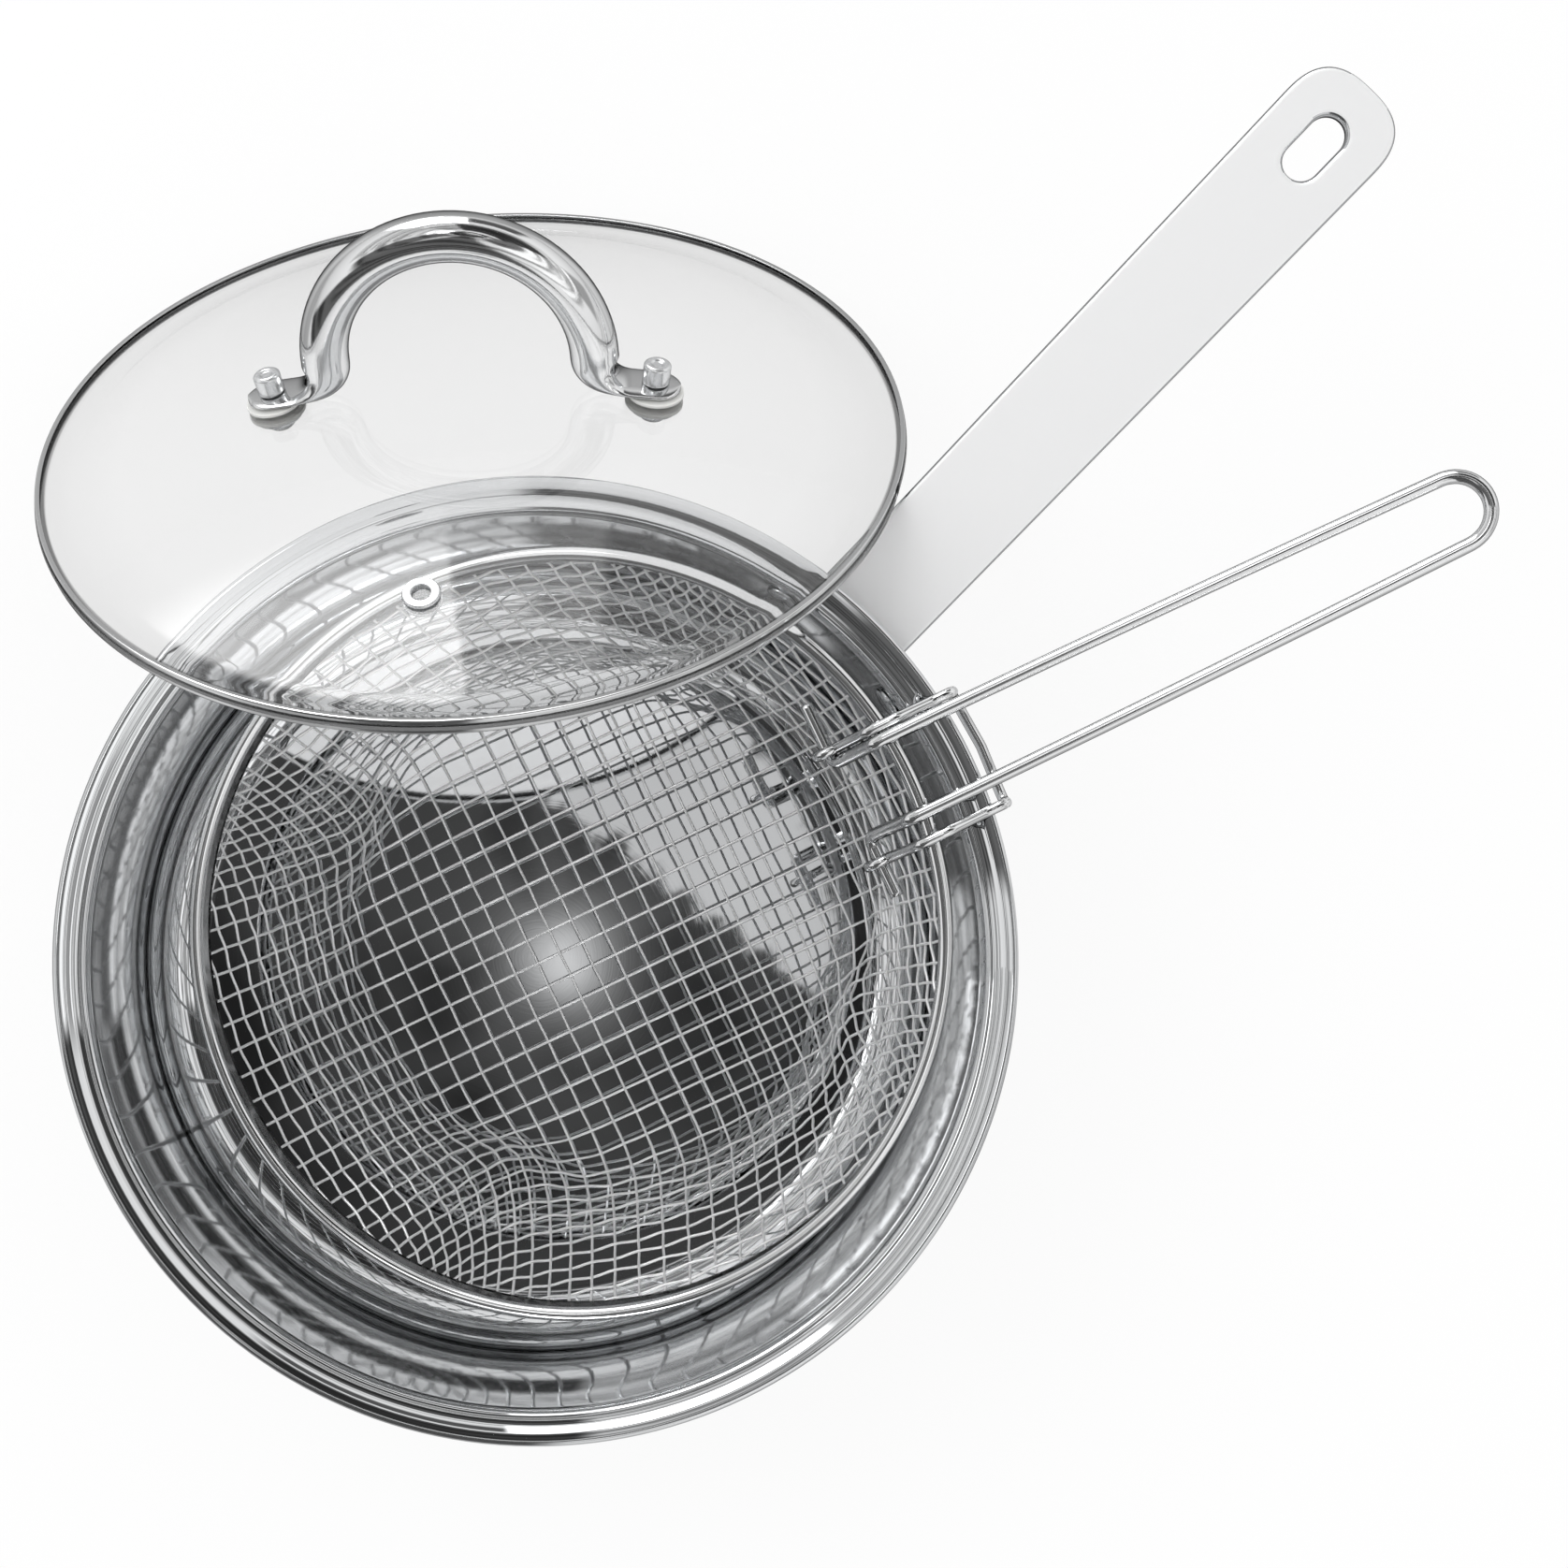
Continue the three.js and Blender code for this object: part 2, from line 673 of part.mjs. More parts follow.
// How far from the pan's axis the lid's middle stands, so that its underside just clears the rim: for
// points round the rim, the lid is moved out along its leaning direction until each is a fit gap
// under the glass or under the band.
function lidDistance(height) {
  const [ls, lc] = [Math.sin(lidLean), Math.cos(lidLean)];
  const room = potRimRadius / roundSteps;
  const rimStride = (Math.PI * potRimRadius) / roundSteps; // between the points that are tried
  const ventUnder = 2 * (ventSheet + fitGap); // the eyelet and its ring under the glass
  let distance = 0;
  for (let i = 0; i <= roundSteps * 2; i++) {
    const angle = (Math.PI * i) / roundSteps;
    for (const radius of [potRimRadius, potRimRadius - rimRoll, seatRadius + seatStep]) {
      const along = radius * Math.cos(angle);
      const aside = radius * Math.sin(angle) - lidAside;
      const fits = (far) => {
        const [dx, dz] = [along - far, potHeight - height];
        const up = -dx * lc + dz * ls;
        const off = dx * ls + dz * lc;
        const q = Math.hypot(up, aside);
        if (q > lidRadius + fitGap) return true;
        const underside = q < lidRadius - bandReach ? domeHeight(q) - glassThickness / 2 : -bandHalf;
        const nearVent = Math.hypot(aside - ventAside, up - ventReach) < ventFlangeRadius + rimStride;
        return off < underside - fitGap - (nearVent ? ventUnder : 0);
      };
      for (let far = potRimRadius * 2; far > distance; far -= room / roundSteps) {
        if (!fits(far)) {
          distance = far + room / roundSteps;
          break;
        }
      }
    }
  }
  return distance;
}

// The basket

// Its depth, from the rim's middle plane to the mesh floor, is such that the lowest edge of the tilted
// floor stands a fit gap over the pan's floor.
const basketTilt = radians(basketTiltDegrees);
const cornerCentreHeight =
  potFloor + potSheet + fitGap + basketCornerRadius + meshThickness / 2 + basketFlatRadius * Math.sin(basketTilt);
const basketDepth =
  (potHeight - basketDrop - cornerCentreHeight) / Math.cos(basketTilt) + basketCornerRadius;

const collarRadius = basketRadius - rimBandSheet - meshGap - meshThickness / 2;
const collarLow = rimBandTop - rimBandHeight - meshThickness;
const collarTop = rimBandTop - rimBandSheet - meshGap;

// The mesh's profile as stretches of floor, corner, wall and collar, each with its length.
function meshProfile() {
  const centre = vec2(basketFlatRadius, basketCornerRadius - basketDepth);
  const top = vec2(collarRadius, collarLow);
  const span = top.distanceTo(centre);
  const direction = Math.atan2(top.y - centre.y, top.x - centre.x);
  const wallStart = direction - Math.acos(basketCornerRadius / span);
  const cornerLength = basketCornerRadius * (wallStart + quarterTurn);
  const wallLength = Math.sqrt(span ** 2 - basketCornerRadius ** 2);
  const touch = vec2(Math.cos(wallStart), Math.sin(wallStart)).multiplyScalar(basketCornerRadius).add(centre);
  const cornerEnd = basketFlatRadius + cornerLength;
  return { centre, top, wallStart, touch, ends: [basketFlatRadius, cornerEnd, cornerEnd + wallLength] };
}

const profile = meshProfile();

// The point of the profile at a distance along it, and its normal towards the inside.
function profileAt(distance) {
  const { centre, top, wallStart, touch, ends } = profile;
  if (distance <= ends[0]) return { point: vec2(distance, -basketDepth), normal: vec2(0, 1) };
  if (distance <= ends[1]) {
    const angle = -quarterTurn + (distance - ends[0]) / basketCornerRadius;
    const out = vec2(Math.cos(angle), Math.sin(angle));
    return { point: out.clone().multiplyScalar(basketCornerRadius).add(centre), normal: out.negate() };
  }
  if (distance <= ends[2]) {
    const share = (distance - ends[1]) / (ends[2] - ends[1]);
    const normal = vec2(-Math.cos(wallStart), -Math.sin(wallStart));
    return { point: touch.clone().lerp(top, share), normal };
  }
  return { point: vec2(collarRadius, collarLow + distance - ends[2]), normal: vec2(-1, 0) };
}

// A flat square lattice, trimmed round and then drawn into the basket's shape: a point's distance
// from the middle becomes its distance along the profile. A plain collar closes its upper edge.
function basketMesh() {
  const meshReach = profile.ends[2] + meshThickness / 2;
  const count = Math.ceil(meshReach / meshPitch);
  const corners = [];
  for (let i = -count; i < count; i++) corners.push((i + 0.5) * meshPitch);
  const lines = corners.flatMap((c) => [c - meshBar / 2, c + meshBar / 2]);
  const positions = [];
  const half = meshThickness / 2;
  const quad = (a, b, c, d) => positions.push(...a, ...b, ...c, ...a, ...c, ...d);
  const solidCell = (i, j) => i % 2 === 0 || j % 2 === 0;
  const last = lines.length - 1;
  for (let i = 0; i < last; i++) {
    for (let j = 0; j < last; j++) {
      if (!solidCell(i, j)) continue;
      const [x0, x1, y0, y1] = [lines[i], lines[i + 1], lines[j], lines[j + 1]];
      quad([x0, y0, half], [x1, y0, half], [x1, y1, half], [x0, y1, half]);
      quad([x0, y0, -half], [x0, y1, -half], [x1, y1, -half], [x1, y0, -half]);
      const open = (p, q) => p < 0 || q < 0 || p >= last || q >= last || !solidCell(p, q);
      if (open(i, j - 1)) quad([x0, y0, -half], [x1, y0, -half], [x1, y0, half], [x0, y0, half]);
      if (open(i + 1, j)) quad([x1, y0, -half], [x1, y1, -half], [x1, y1, half], [x1, y0, half]);
      if (open(i, j + 1)) quad([x1, y1, -half], [x0, y1, -half], [x0, y1, half], [x1, y1, half]);
      if (open(i - 1, j)) quad([x0, y1, -half], [x0, y0, -half], [x0, y0, half], [x0, y1, half]);
    }
  }
  const lattice = new THREE.BufferGeometry();
  lattice.setAttribute("position", new THREE.Float32BufferAttribute(positions, 3));
  const disc = bar(meshReach, -meshThickness, meshThickness, roundSteps);
  const flat = surface(solid(lattice).intersect(solid(disc)));
  const place = flat.getAttribute("position");
  for (let i = 0; i < place.count; i++) {
    const [x, y, z] = [place.getX(i), place.getY(i), place.getZ(i)];
    const reach = Math.hypot(x, y);
    const { point, normal } = profileAt(reach);
    const radius = point.x + normal.x * z;
    const scale = reach > 0 ? radius / reach : 0;
    place.setXYZ(i, x * scale, y * scale, point.y + normal.y * z);
  }
  const collar = revolve([
    vec2(collarRadius - half, collarLow - half),
    vec2(collarRadius + half, collarLow),
    vec2(collarRadius + half, collarTop),
    vec2(collarRadius - half, collarTop),
  ]);
  return join(flat, collar);
}

function basketBand() {
  const low = rimBandTop - rimBandHeight;
  const outer = basketRadius;
  const inner = basketRadius - 2 * (rimBandSheet + meshGap) - meshThickness;
  const soft = rimBandSheet / 2;
  return revolve([
    vec2(inner, low),
    vec2(inner, rimBandTop - soft),
    vec2(inner + soft, rimBandTop),
    vec2(outer - soft, rimBandTop),
    vec2(outer, rimBandTop - soft),
    vec2(outer, low),
    vec2(outer - rimBandSheet, low),
    vec2(outer - rimBandSheet, rimBandTop - rimBandSheet),
    vec2(inner + rimBandSheet, rimBandTop - rimBandSheet),
    vec2(inner + rimBandSheet, low),
  ]);
}

const pinReach = basketRadius - pinInset; // the pivot from the basket's axis

// A place given from the pan's axis along the basket's direction, to its left, and over the pan's
// rim, as a point in the basket's own frame.
function inBasket(along, aside, over) {
  const dx = along - basketForward;
  const dz = over + basketDrop;
  const [s, c] = [Math.sin(basketTilt), Math.cos(basketTilt)];
  return vec3(dx * c + dz * s, aside - basketAside, dz * c - dx * s);
}

// The hanger, one wire: an eye round the handle's pin on each side, up the inside of the mesh, over
// the basket's band, out over the pan's rim, down past it and across to the other arm.
function basketHanger() {
  const eyeRadius = handleWire + pivotGap + hookWire;
  const overBand = rimBandTop + fitGap + hookWire;
  const rest = fitGap + hookWire;
  const bandInner = basketRadius - 2 * (rimBandSheet + meshGap) - meshThickness;
  const barReach = potRimRadius + hookReach + hookWire;
  const eyes = [];
  const arms = [1, -1].map((side) => {
    const across = hookAside + side * hookSpread;
    const centre = vec3(pinReach, across, -pinDrop);
    const eye = revolve(
      arcPoints(vec2(eyeRadius, 0), hookWire, 0, 2 * Math.PI, wireSides).slice(0, wireSides),
      smallSteps,
    );
    eye.rotateX(quarterTurn);
    eye.translate(centre.x, centre.y, centre.z);
    eyes.push(eye);
    const bandCross = vec3(bandInner - hookRise, across, overBand);
    const eyeJoin = bandCross.clone().sub(centre).setLength(eyeRadius).add(centre);
    const aside = basketAside + across;
    const rimAlong = Math.sqrt(potRimRadius ** 2 - aside ** 2);
    const barAlong = Math.sqrt(barReach ** 2 - aside ** 2);
    return [
      eyeJoin,
      bandCross,
      vec3(basketRadius + hookWire, across, overBand),
      inBasket(rimAlong - 2 * rimRoll, aside, rest),
      inBasket(barAlong, aside, rest),
      inBasket(barAlong, aside, rest - hookLip),
    ];
  });
  const middle = inBasket(barReach, basketAside + hookAside, rest - hookLip);
  return join(wire(hookWire, bentRoute([...arms[0], middle, ...arms[1].reverse()], hookBend)), ...eyes);
}

// The fold-in handle: one wire from pin to pin, over the band, out and round its end.
function basketHandle() {
  const overBand = rimBandTop + fitGap + handleWire;
  const turnCentre = handleTipReach - handleWire - handleTipSpread;
  const rim = vec3(basketRadius - rimBandSheet, handleSpread, overBand);
  const slope = (handleTipRise - overBand) / (turnCentre - rim.x);
  const sweepStart = handleMidReach - handleSweep;
  const leg = bentRoute(
    [
      vec3(pinReach, pinEnd, -pinDrop),
      vec3(pinReach, handleSpread, -pinDrop),
      vec3(rim.x - handleRise, handleSpread, overBand),
      vec3(sweepStart, handleSpread, overBand + slope * (sweepStart - rim.x)),
    ],
    handleBend,
  );
  const run = new THREE.QuadraticBezierCurve3(
    leg.pop(),
    vec3(handleMidReach, handleMidSpread, overBand + slope * (handleMidReach - rim.x)),
    vec3(turnCentre, handleTipSpread, handleTipRise),
  );
  const side = [...leg, ...run.getPoints(bendSteps)];
  const turn = [];
  for (let i = 1; i < wireSides; i++) {
    const angle = quarterTurn - (Math.PI * i) / wireSides;
    const reach = handleTipSpread * Math.cos(angle);
    turn.push(
      vec3(turnCentre + reach, handleTipSpread * Math.sin(angle), handleTipRise + slope * reach),
    );
  }
  const mirrored = side.map((p) => vec3(p.x, -p.y, p.z)).reverse();
  return wire(handleWire, [...side, ...turn, ...mirrored]);
}

// Assembly

const part = new THREE.Group();

const pan = new THREE.Group();
pan.add(piece("pot_body", potBody(), polished));
pan.add(piece("base_cap", baseCap(), satin));
pan.add(piece("base_core", baseCore(), coreMetal));
pan.add(piece("handle_bracket", handleBracket(), satin));
pan.add(piece("handle_rivet_left", rivet(1), polished));
pan.add(piece("handle_rivet_right", rivet(-1), polished));
const strap = piece("pan_handle", strapHandle(), polished);
strap.applyMatrix4(strapFrame());
pan.add(strap);
part.add(pan);

const lid = new THREE.Group();
lid.add(piece("lid_glass", lidGlass(), clearGlass));
lid.add(piece("lid_rim_band", lidBand(), polished));
lid.add(piece("lid_handle", lidHandle(), polished));
for (const [word, side] of [["left", 1], ["right", -1]]) {
  const bore = screwRadius + fitGap;
  const outerGasket = ring(bore, gasketRadius, outerGasketLow, outerGasketLow + gasketThickness);
  const innerGasket = ring(bore, gasketRadius, innerGasketHigh - gasketThickness, innerGasketHigh);
  const washer = ring(bore, washerRadius, washerHigh - washerThickness, washerHigh);
  lid.add(piece("lid_cap_nut_" + word, capNut(side), polished));
  lid.add(piece("lid_outer_gasket_" + word, footPlaced(outerGasket, side), sealRubber));
  lid.add(piece("lid_inner_gasket_" + word, footPlaced(innerGasket, side), sealRubber));
  lid.add(piece("lid_washer_" + word, footPlaced(washer, side), satin));
  lid.add(piece("lid_screw_" + word, lidScrew(side), satin));
}
lid.add(piece("vent_eyelet", ventEyelet(), polished));
lid.add(piece("vent_ring", ventRing(), satin));
const lidHeight = lidRadius * Math.sin(lidLean) + bandHalf * Math.cos(lidLean) + fitGap;
const lidTurn = radians(lidLeanTurnDegrees);
const lidFar = lidDistance(lidHeight);
lid.rotation.set(lidLean, 0, lidTurn + quarterTurn, "ZXY");
lid.position.set(
  lidFar * Math.cos(lidTurn) - lidAside * Math.sin(lidTurn),
  lidFar * Math.sin(lidTurn) + lidAside * Math.cos(lidTurn),
  lidHeight,
);
part.add(lid);

const basket = new THREE.Group();
basket.add(piece("basket_mesh", basketMesh(), wireSteel));
basket.add(piece("basket_rim_band", basketBand(), polished));
basket.add(piece("basket_hanger", basketHanger(), wireSteel));
basket.add(piece("basket_handle", basketHandle(), wireSteel));
const basketTurn = radians(basketTurnDegrees);
basket.rotation.set(0, -basketTilt, basketTurn, "ZYX");
basket.position.set(
  basketForward * Math.cos(basketTurn) - basketAside * Math.sin(basketTurn),
  basketForward * Math.sin(basketTurn) + basketAside * Math.cos(basketTurn),
  potHeight - basketDrop,
);
part.add(basket);

export default part;
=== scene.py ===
"""Dresses the deep fry pot: a polished steel pan, a woven wire basket and a domed glass lid.

The sizes of these three are in millimetres, and become metres when a surface is made into a mesh.
The pan's frame has its origin in the middle of its underside, +Z up and +X along its strap handle.
The basket and the lid each have a frame of their own: the lid's is placed from the box of its steel rim,
the basket's from given turns and offsets.
"""

from __future__ import annotations

import json
import logging
import math
from dataclasses import dataclass, field
from enum import Enum

import bmesh
import bpy
import numpy as np
from mathutils import Matrix, Vector
from numpy.typing import NDArray

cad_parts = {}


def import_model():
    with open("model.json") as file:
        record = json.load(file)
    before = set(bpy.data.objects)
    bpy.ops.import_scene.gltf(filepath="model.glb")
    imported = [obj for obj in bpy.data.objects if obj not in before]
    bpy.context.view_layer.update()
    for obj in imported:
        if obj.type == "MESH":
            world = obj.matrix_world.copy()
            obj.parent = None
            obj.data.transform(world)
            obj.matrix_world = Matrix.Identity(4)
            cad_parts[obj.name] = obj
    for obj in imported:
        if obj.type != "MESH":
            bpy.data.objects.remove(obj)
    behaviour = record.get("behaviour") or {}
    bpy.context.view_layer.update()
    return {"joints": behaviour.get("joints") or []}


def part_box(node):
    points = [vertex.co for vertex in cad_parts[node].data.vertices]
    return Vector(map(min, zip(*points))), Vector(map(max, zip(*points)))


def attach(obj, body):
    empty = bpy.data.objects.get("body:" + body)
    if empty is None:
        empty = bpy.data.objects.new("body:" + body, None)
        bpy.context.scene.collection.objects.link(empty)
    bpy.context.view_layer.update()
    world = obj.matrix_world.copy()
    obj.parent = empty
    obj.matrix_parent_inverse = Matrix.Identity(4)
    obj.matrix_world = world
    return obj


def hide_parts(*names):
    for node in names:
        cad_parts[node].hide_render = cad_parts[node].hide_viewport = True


LOG = logging.getLogger("deep_fry_pot")
MILLIMETRE = 0.001
SIDES = ((1.0, "left"), (-1.0, "right"))
FULL_TURN = 2.0 * math.pi
QUARTER_TURN = math.pi / 2.0
SETBACK_SHARE = 0.32  # the most of a side that a rounded corner takes
SUPPORT_SETBACKS = 1.5  # how far off a rounded corner its support points lie, in setbacks
END_RINGS = np.array([0.9, 0.0])  # the rings that close a bar's end, as shares of its thickness
DOUBLE_STEP = 1e-4  # points of a path that are nearer than this are one, in millimetres
SEAM_WIDTH = 2e-7  # points of a mesh that are nearer than this are one, in metres
SLIVER_WIDTH = 1e-7  # faces of a mesh that are thinner than this are dropped, in metres

Points = NDArray[np.float64]
Indices = NDArray[np.int64]
Material = bpy.types.Material
Node = bpy.types.Node
Piece = bpy.types.Object
Socket = bpy.types.NodeSocket


# Surfaces


@dataclass
class Skin:
    """A surface in millimetres: its points, and its faces as rows of four point numbers."""

    points: Points
    faces: Indices

    def placed(self, turn: Points, origin: Points) -> Skin:
        """Carries the surface into another frame.

        Args:
            turn: The 3 by 3 rotation from this surface's frame to the other.
            origin: Where this frame's origin lies in the other, in millimetres.

        Returns:
            The surface in the other frame.
        """
        return Skin(self.points @ turn.T + origin, self.faces)

    def joined(self, *others: Skin) -> Skin:
        """Puts surfaces together as one, each keeping its own points."""
        skins = (self, *others)
        starts = np.cumsum([0] + [len(skin.points) for skin in skins[:-1]])
        points = np.concatenate([skin.points for skin in skins])
        faces = np.concatenate([skin.faces + start for skin, start in zip(skins, starts)])
        return Skin(points, faces)


def grid_skin(grid: Points, wrap_rows: bool = False, wrap_columns: bool = False) -> Skin:
    """Spans a grid of points with four-cornered faces.

    Args:
        grid: Points as an array of rows, columns and three coordinates.
        wrap_rows: Whether the last row is joined to the first.
        wrap_columns: Whether the last column is joined to the first.

    Returns:
        The surface.
    """
    rows, columns = grid.shape[:2]
    number = np.arange(rows * columns).reshape(rows, columns)
    if wrap_rows:
        number = np.vstack([number, number[:1]])
    if wrap_columns:
        number = np.hstack([number, number[:, :1]])
    corners = [number[:-1, :-1], number[1:, :-1], number[1:, 1:], number[:-1, 1:]]
    return Skin(grid.reshape(-1, 3), np.stack(corners, axis=-1).reshape(-1, 4))


def unit(vectors: Points) -> Points:
    """Scales each vector of an array to length one."""
    return vectors / np.linalg.norm(vectors, axis=-1, keepdims=True)


def smooth_step(share: Points) -> Points:
    """Goes smoothly from 0 to 1: three times the square of the share less twice its cube."""
    held = np.clip(share, 0.0, 1.0)
    return held * held * (3.0 - 2.0 * held)


def arc(centre: tuple[float, float], radius: float, start: float, end: float, steps: int) -> Points:
    """Points of a circle's arc: the centre plus the radius times the cosine and sine of the angle."""
    angle = np.linspace(start, end, steps + 1)
    return np.column_stack([centre[0] + radius * np.cos(angle), centre[1] + radius * np.sin(angle)])


def quadratic(start: Points, middle: Points, end: Points, share: Points) -> Points:
    """A quadratic curve: start (1 - s)^2 plus middle 2 s (1 - s) plus end s^2, at each share s."""
    return (1 - share) ** 2 * start + 2 * share * (1 - share) * middle + share**2 * end


def about_z(angle: float) -> Points:
    """The rotation about Z by an angle."""
    cosine = math.cos(angle)
    sine = math.sin(angle)
    return np.array([[cosine, -sine, 0.0], [sine, cosine, 0.0], [0.0, 0.0, 1.0]])


def rounded(corners: Points, radii: Points | float, steps: int = 5) -> Points:
    """Rounds the corners of a closed outline.

    Each corner becomes a quadratic curve from one setback before it to one after it, with a support
    point a little further out on both straights so that the straights shade flat.

    Args:
        corners: The outline's corners as (across, up) pairs.
        radii: The setback at each corner, or one for all of them.
        steps: Points on each curve.

    Returns:
        The rounded outline as pairs.
    """
    before = np.roll(corners, 1, axis=0) - corners
    after = np.roll(corners, -1, axis=0) - corners
    room = np.minimum(np.linalg.norm(before, axis=1), np.linalg.norm(after, axis=1))
    setback = np.minimum(np.broadcast_to(radii, room.shape), SETBACK_SHARE * room)[:, None, None]
    share = np.linspace(0.0, 1.0, steps)[None, :, None]
    middle = corners[:, None, :]
    start = middle + setback * unit(before)[:, None, :]
    end = middle + setback * unit(after)[:, None, :]
    curve = quadratic(start, middle, end, share)
    lead = middle + SUPPORT_SETBACKS * setback * unit(before)[:, None, :]
    tail = middle + SUPPORT_SETBACKS * setback * unit(after)[:, None, :]
    return np.concatenate([lead, curve, tail], axis=1).reshape(-1, 2)


def revolved(profile: Points, steps: int = 160, closed: bool = True) -> Skin:
    """Turns a profile round Z: a pair (r, z) at an angle a becomes (r cos a, r sin a, z).

    Args:
        profile: Pairs of radius and height.
        steps: Faces round the axis.
        closed: Whether the profile closes on itself; an open one runs from axis to axis.

    Returns:
        The surface.
    """
    angle = np.arange(steps) * FULL_TURN / steps
    radius = profile[:, 0][:, None]
    height = np.broadcast_to(profile[:, 1][:, None], (len(profile), steps))
    grid = np.stack([radius * np.cos(angle), radius * np.sin(angle), height], axis=-1)
    return grid_skin(grid, wrap_rows=closed, wrap_columns=True)


def turned_part(rows: list[tuple[float, float, float]], steps: int, closed: bool = True) -> Skin:
    """Turns an outline round Z whose rows give radius, height and how far that corner is rounded."""
    table = np.array(rows)
    return revolved(rounded(table[:, :2], table[:, 2]), steps, closed)


def pressed(line: Points, thickness: float) -> Points:
    """Gives a centre line an even thickness: both sides lie half of it off, along the line's normal.

    Args:
        line: The sheet's centre line as pairs, open.
        thickness: The sheet's thickness.

    Returns:
        A closed profile, with a rounded edge at the line's end.
    """
    along = unit(np.gradient(line, axis=0))
    normal = np.column_stack([-along[:, 1], along[:, 0]])
    half = thickness / 2.0
    turn = np.linspace(QUARTER_TURN, -QUARTER_TURN, 7)[1:-1, None]
    edge = line[-1] + half * (np.sin(turn) * normal[-1] + np.cos(turn) * along[-1])
    return np.concatenate([line + half * normal, edge, (line - half * normal)[::-1]])


def swept(
    path: Points,
    reference: Points,
    half_width: Points | float,
    half_height: Points | float | None = None,
    sides: int = 16,
    closed: bool = False,
) -> Skin:
    """Carries an oval along a path.

    At each point of the path the tangent, a side square to it and to the reference, and the third
    direction make a frame, and the oval is width times cosine along the side plus height times sine.

    Args:
        path: Points of the centre line.
        reference: A direction, or one for each point, that is never along the path.
        half_width: Half the oval's width, across the reference.
        half_height: Half its height, along the reference; the width for a round bar.
        sides: Faces round the bar.
        closed: Whether the path closes on itself.

    Returns:
        The surface, with its ends closed to points.
    """
    if closed:
        tangent = unit(np.roll(path, -1, axis=0) - np.roll(path, 1, axis=0))
    else:
        tangent = unit(np.gradient(path, axis=0))
    side = unit(np.cross(np.broadcast_to(reference, path.shape), tangent))
    lift = np.cross(tangent, side)
    width = np.broadcast_to(half_width, len(path))
    height = width if half_height is None else np.broadcast_to(half_height, len(path))
    angle = np.arange(sides) * FULL_TURN / sides
    across = width[:, None, None] * np.cos(angle)[None, :, None] * side[:, None, :]
    upward = height[:, None, None] * np.sin(angle)[None, :, None] * lift[:, None, :]
    rings = path[:, None, :] + across + upward
    if closed:
        return grid_skin(rings, wrap_rows=True, wrap_columns=True)
    shares = END_RINGS[:, None, None]
    first = path[:1, None, :] + shares * (rings[:1] - path[:1, None, :])
    last = path[-1:, None, :] + shares * (rings[-1:] - path[-1:, None, :])
    return grid_skin(np.concatenate([first[::-1], rings, last]), wrap_columns=True)


def bent_path(corners: Points, bend: float, steps: int = 8) -> Points:
    """Rounds the inner corners of an open path with quadratic curves, a bend's tangent length off.

    Args:
        corners: The path's corners as points.
        bend: The bend radius at each inner corner.
        steps: Points on each bend.

    Returns:
        The path's points, each once.
    """
    inner = corners[1:-1]
    back = corners[:-2] - inner
    ahead = corners[2:] - inner
    back_length = np.linalg.norm(back, axis=1)
    ahead_length = np.linalg.norm(ahead, axis=1)
    meeting = np.sum(unit(back) * unit(ahead), axis=1)
    turn = math.pi - np.arccos(np.clip(meeting, -1.0, 1.0))
    setback = np.minimum(bend * np.tan(turn / 2.0), 0.5 * np.minimum(back_length, ahead_length))
    share = np.linspace(0.0, 1.0, steps)[None, :, None]
    start = (inner + setback[:, None] * unit(back))[:, None, :]
    end = (inner + setback[:, None] * unit(ahead))[:, None, :]
    middle = inner[:, None, :]
    curves = quadratic(start, middle, end, share)
    path = np.concatenate([corners[:1], curves.reshape(-1, 3), corners[-1:]])
    step = np.linalg.norm(np.diff(path, axis=0), axis=1)
    return path[np.concatenate([[True], step > DOUBLE_STEP])]


def evened(path: Points, spacing: float) -> Points:
    """Spaces a path's points evenly by its length."""
    reach = np.concatenate([[0.0], np.cumsum(np.linalg.norm(np.diff(path, axis=0), axis=1))])
    count = max(int(math.ceil(reach[-1] / spacing)), 2)
    places = np.linspace(0.0, reach[-1], count + 1)
    return np.column_stack([np.interp(places, reach, path[:, axis]) for axis in range(3)])


# Finishes


class Grain(Enum):
    """The direction of a finish's fine polishing lines."""

    TURNED = "round the pan's axis"
    ALONG = "along X"
    DRAWN = "none that the eye can follow"


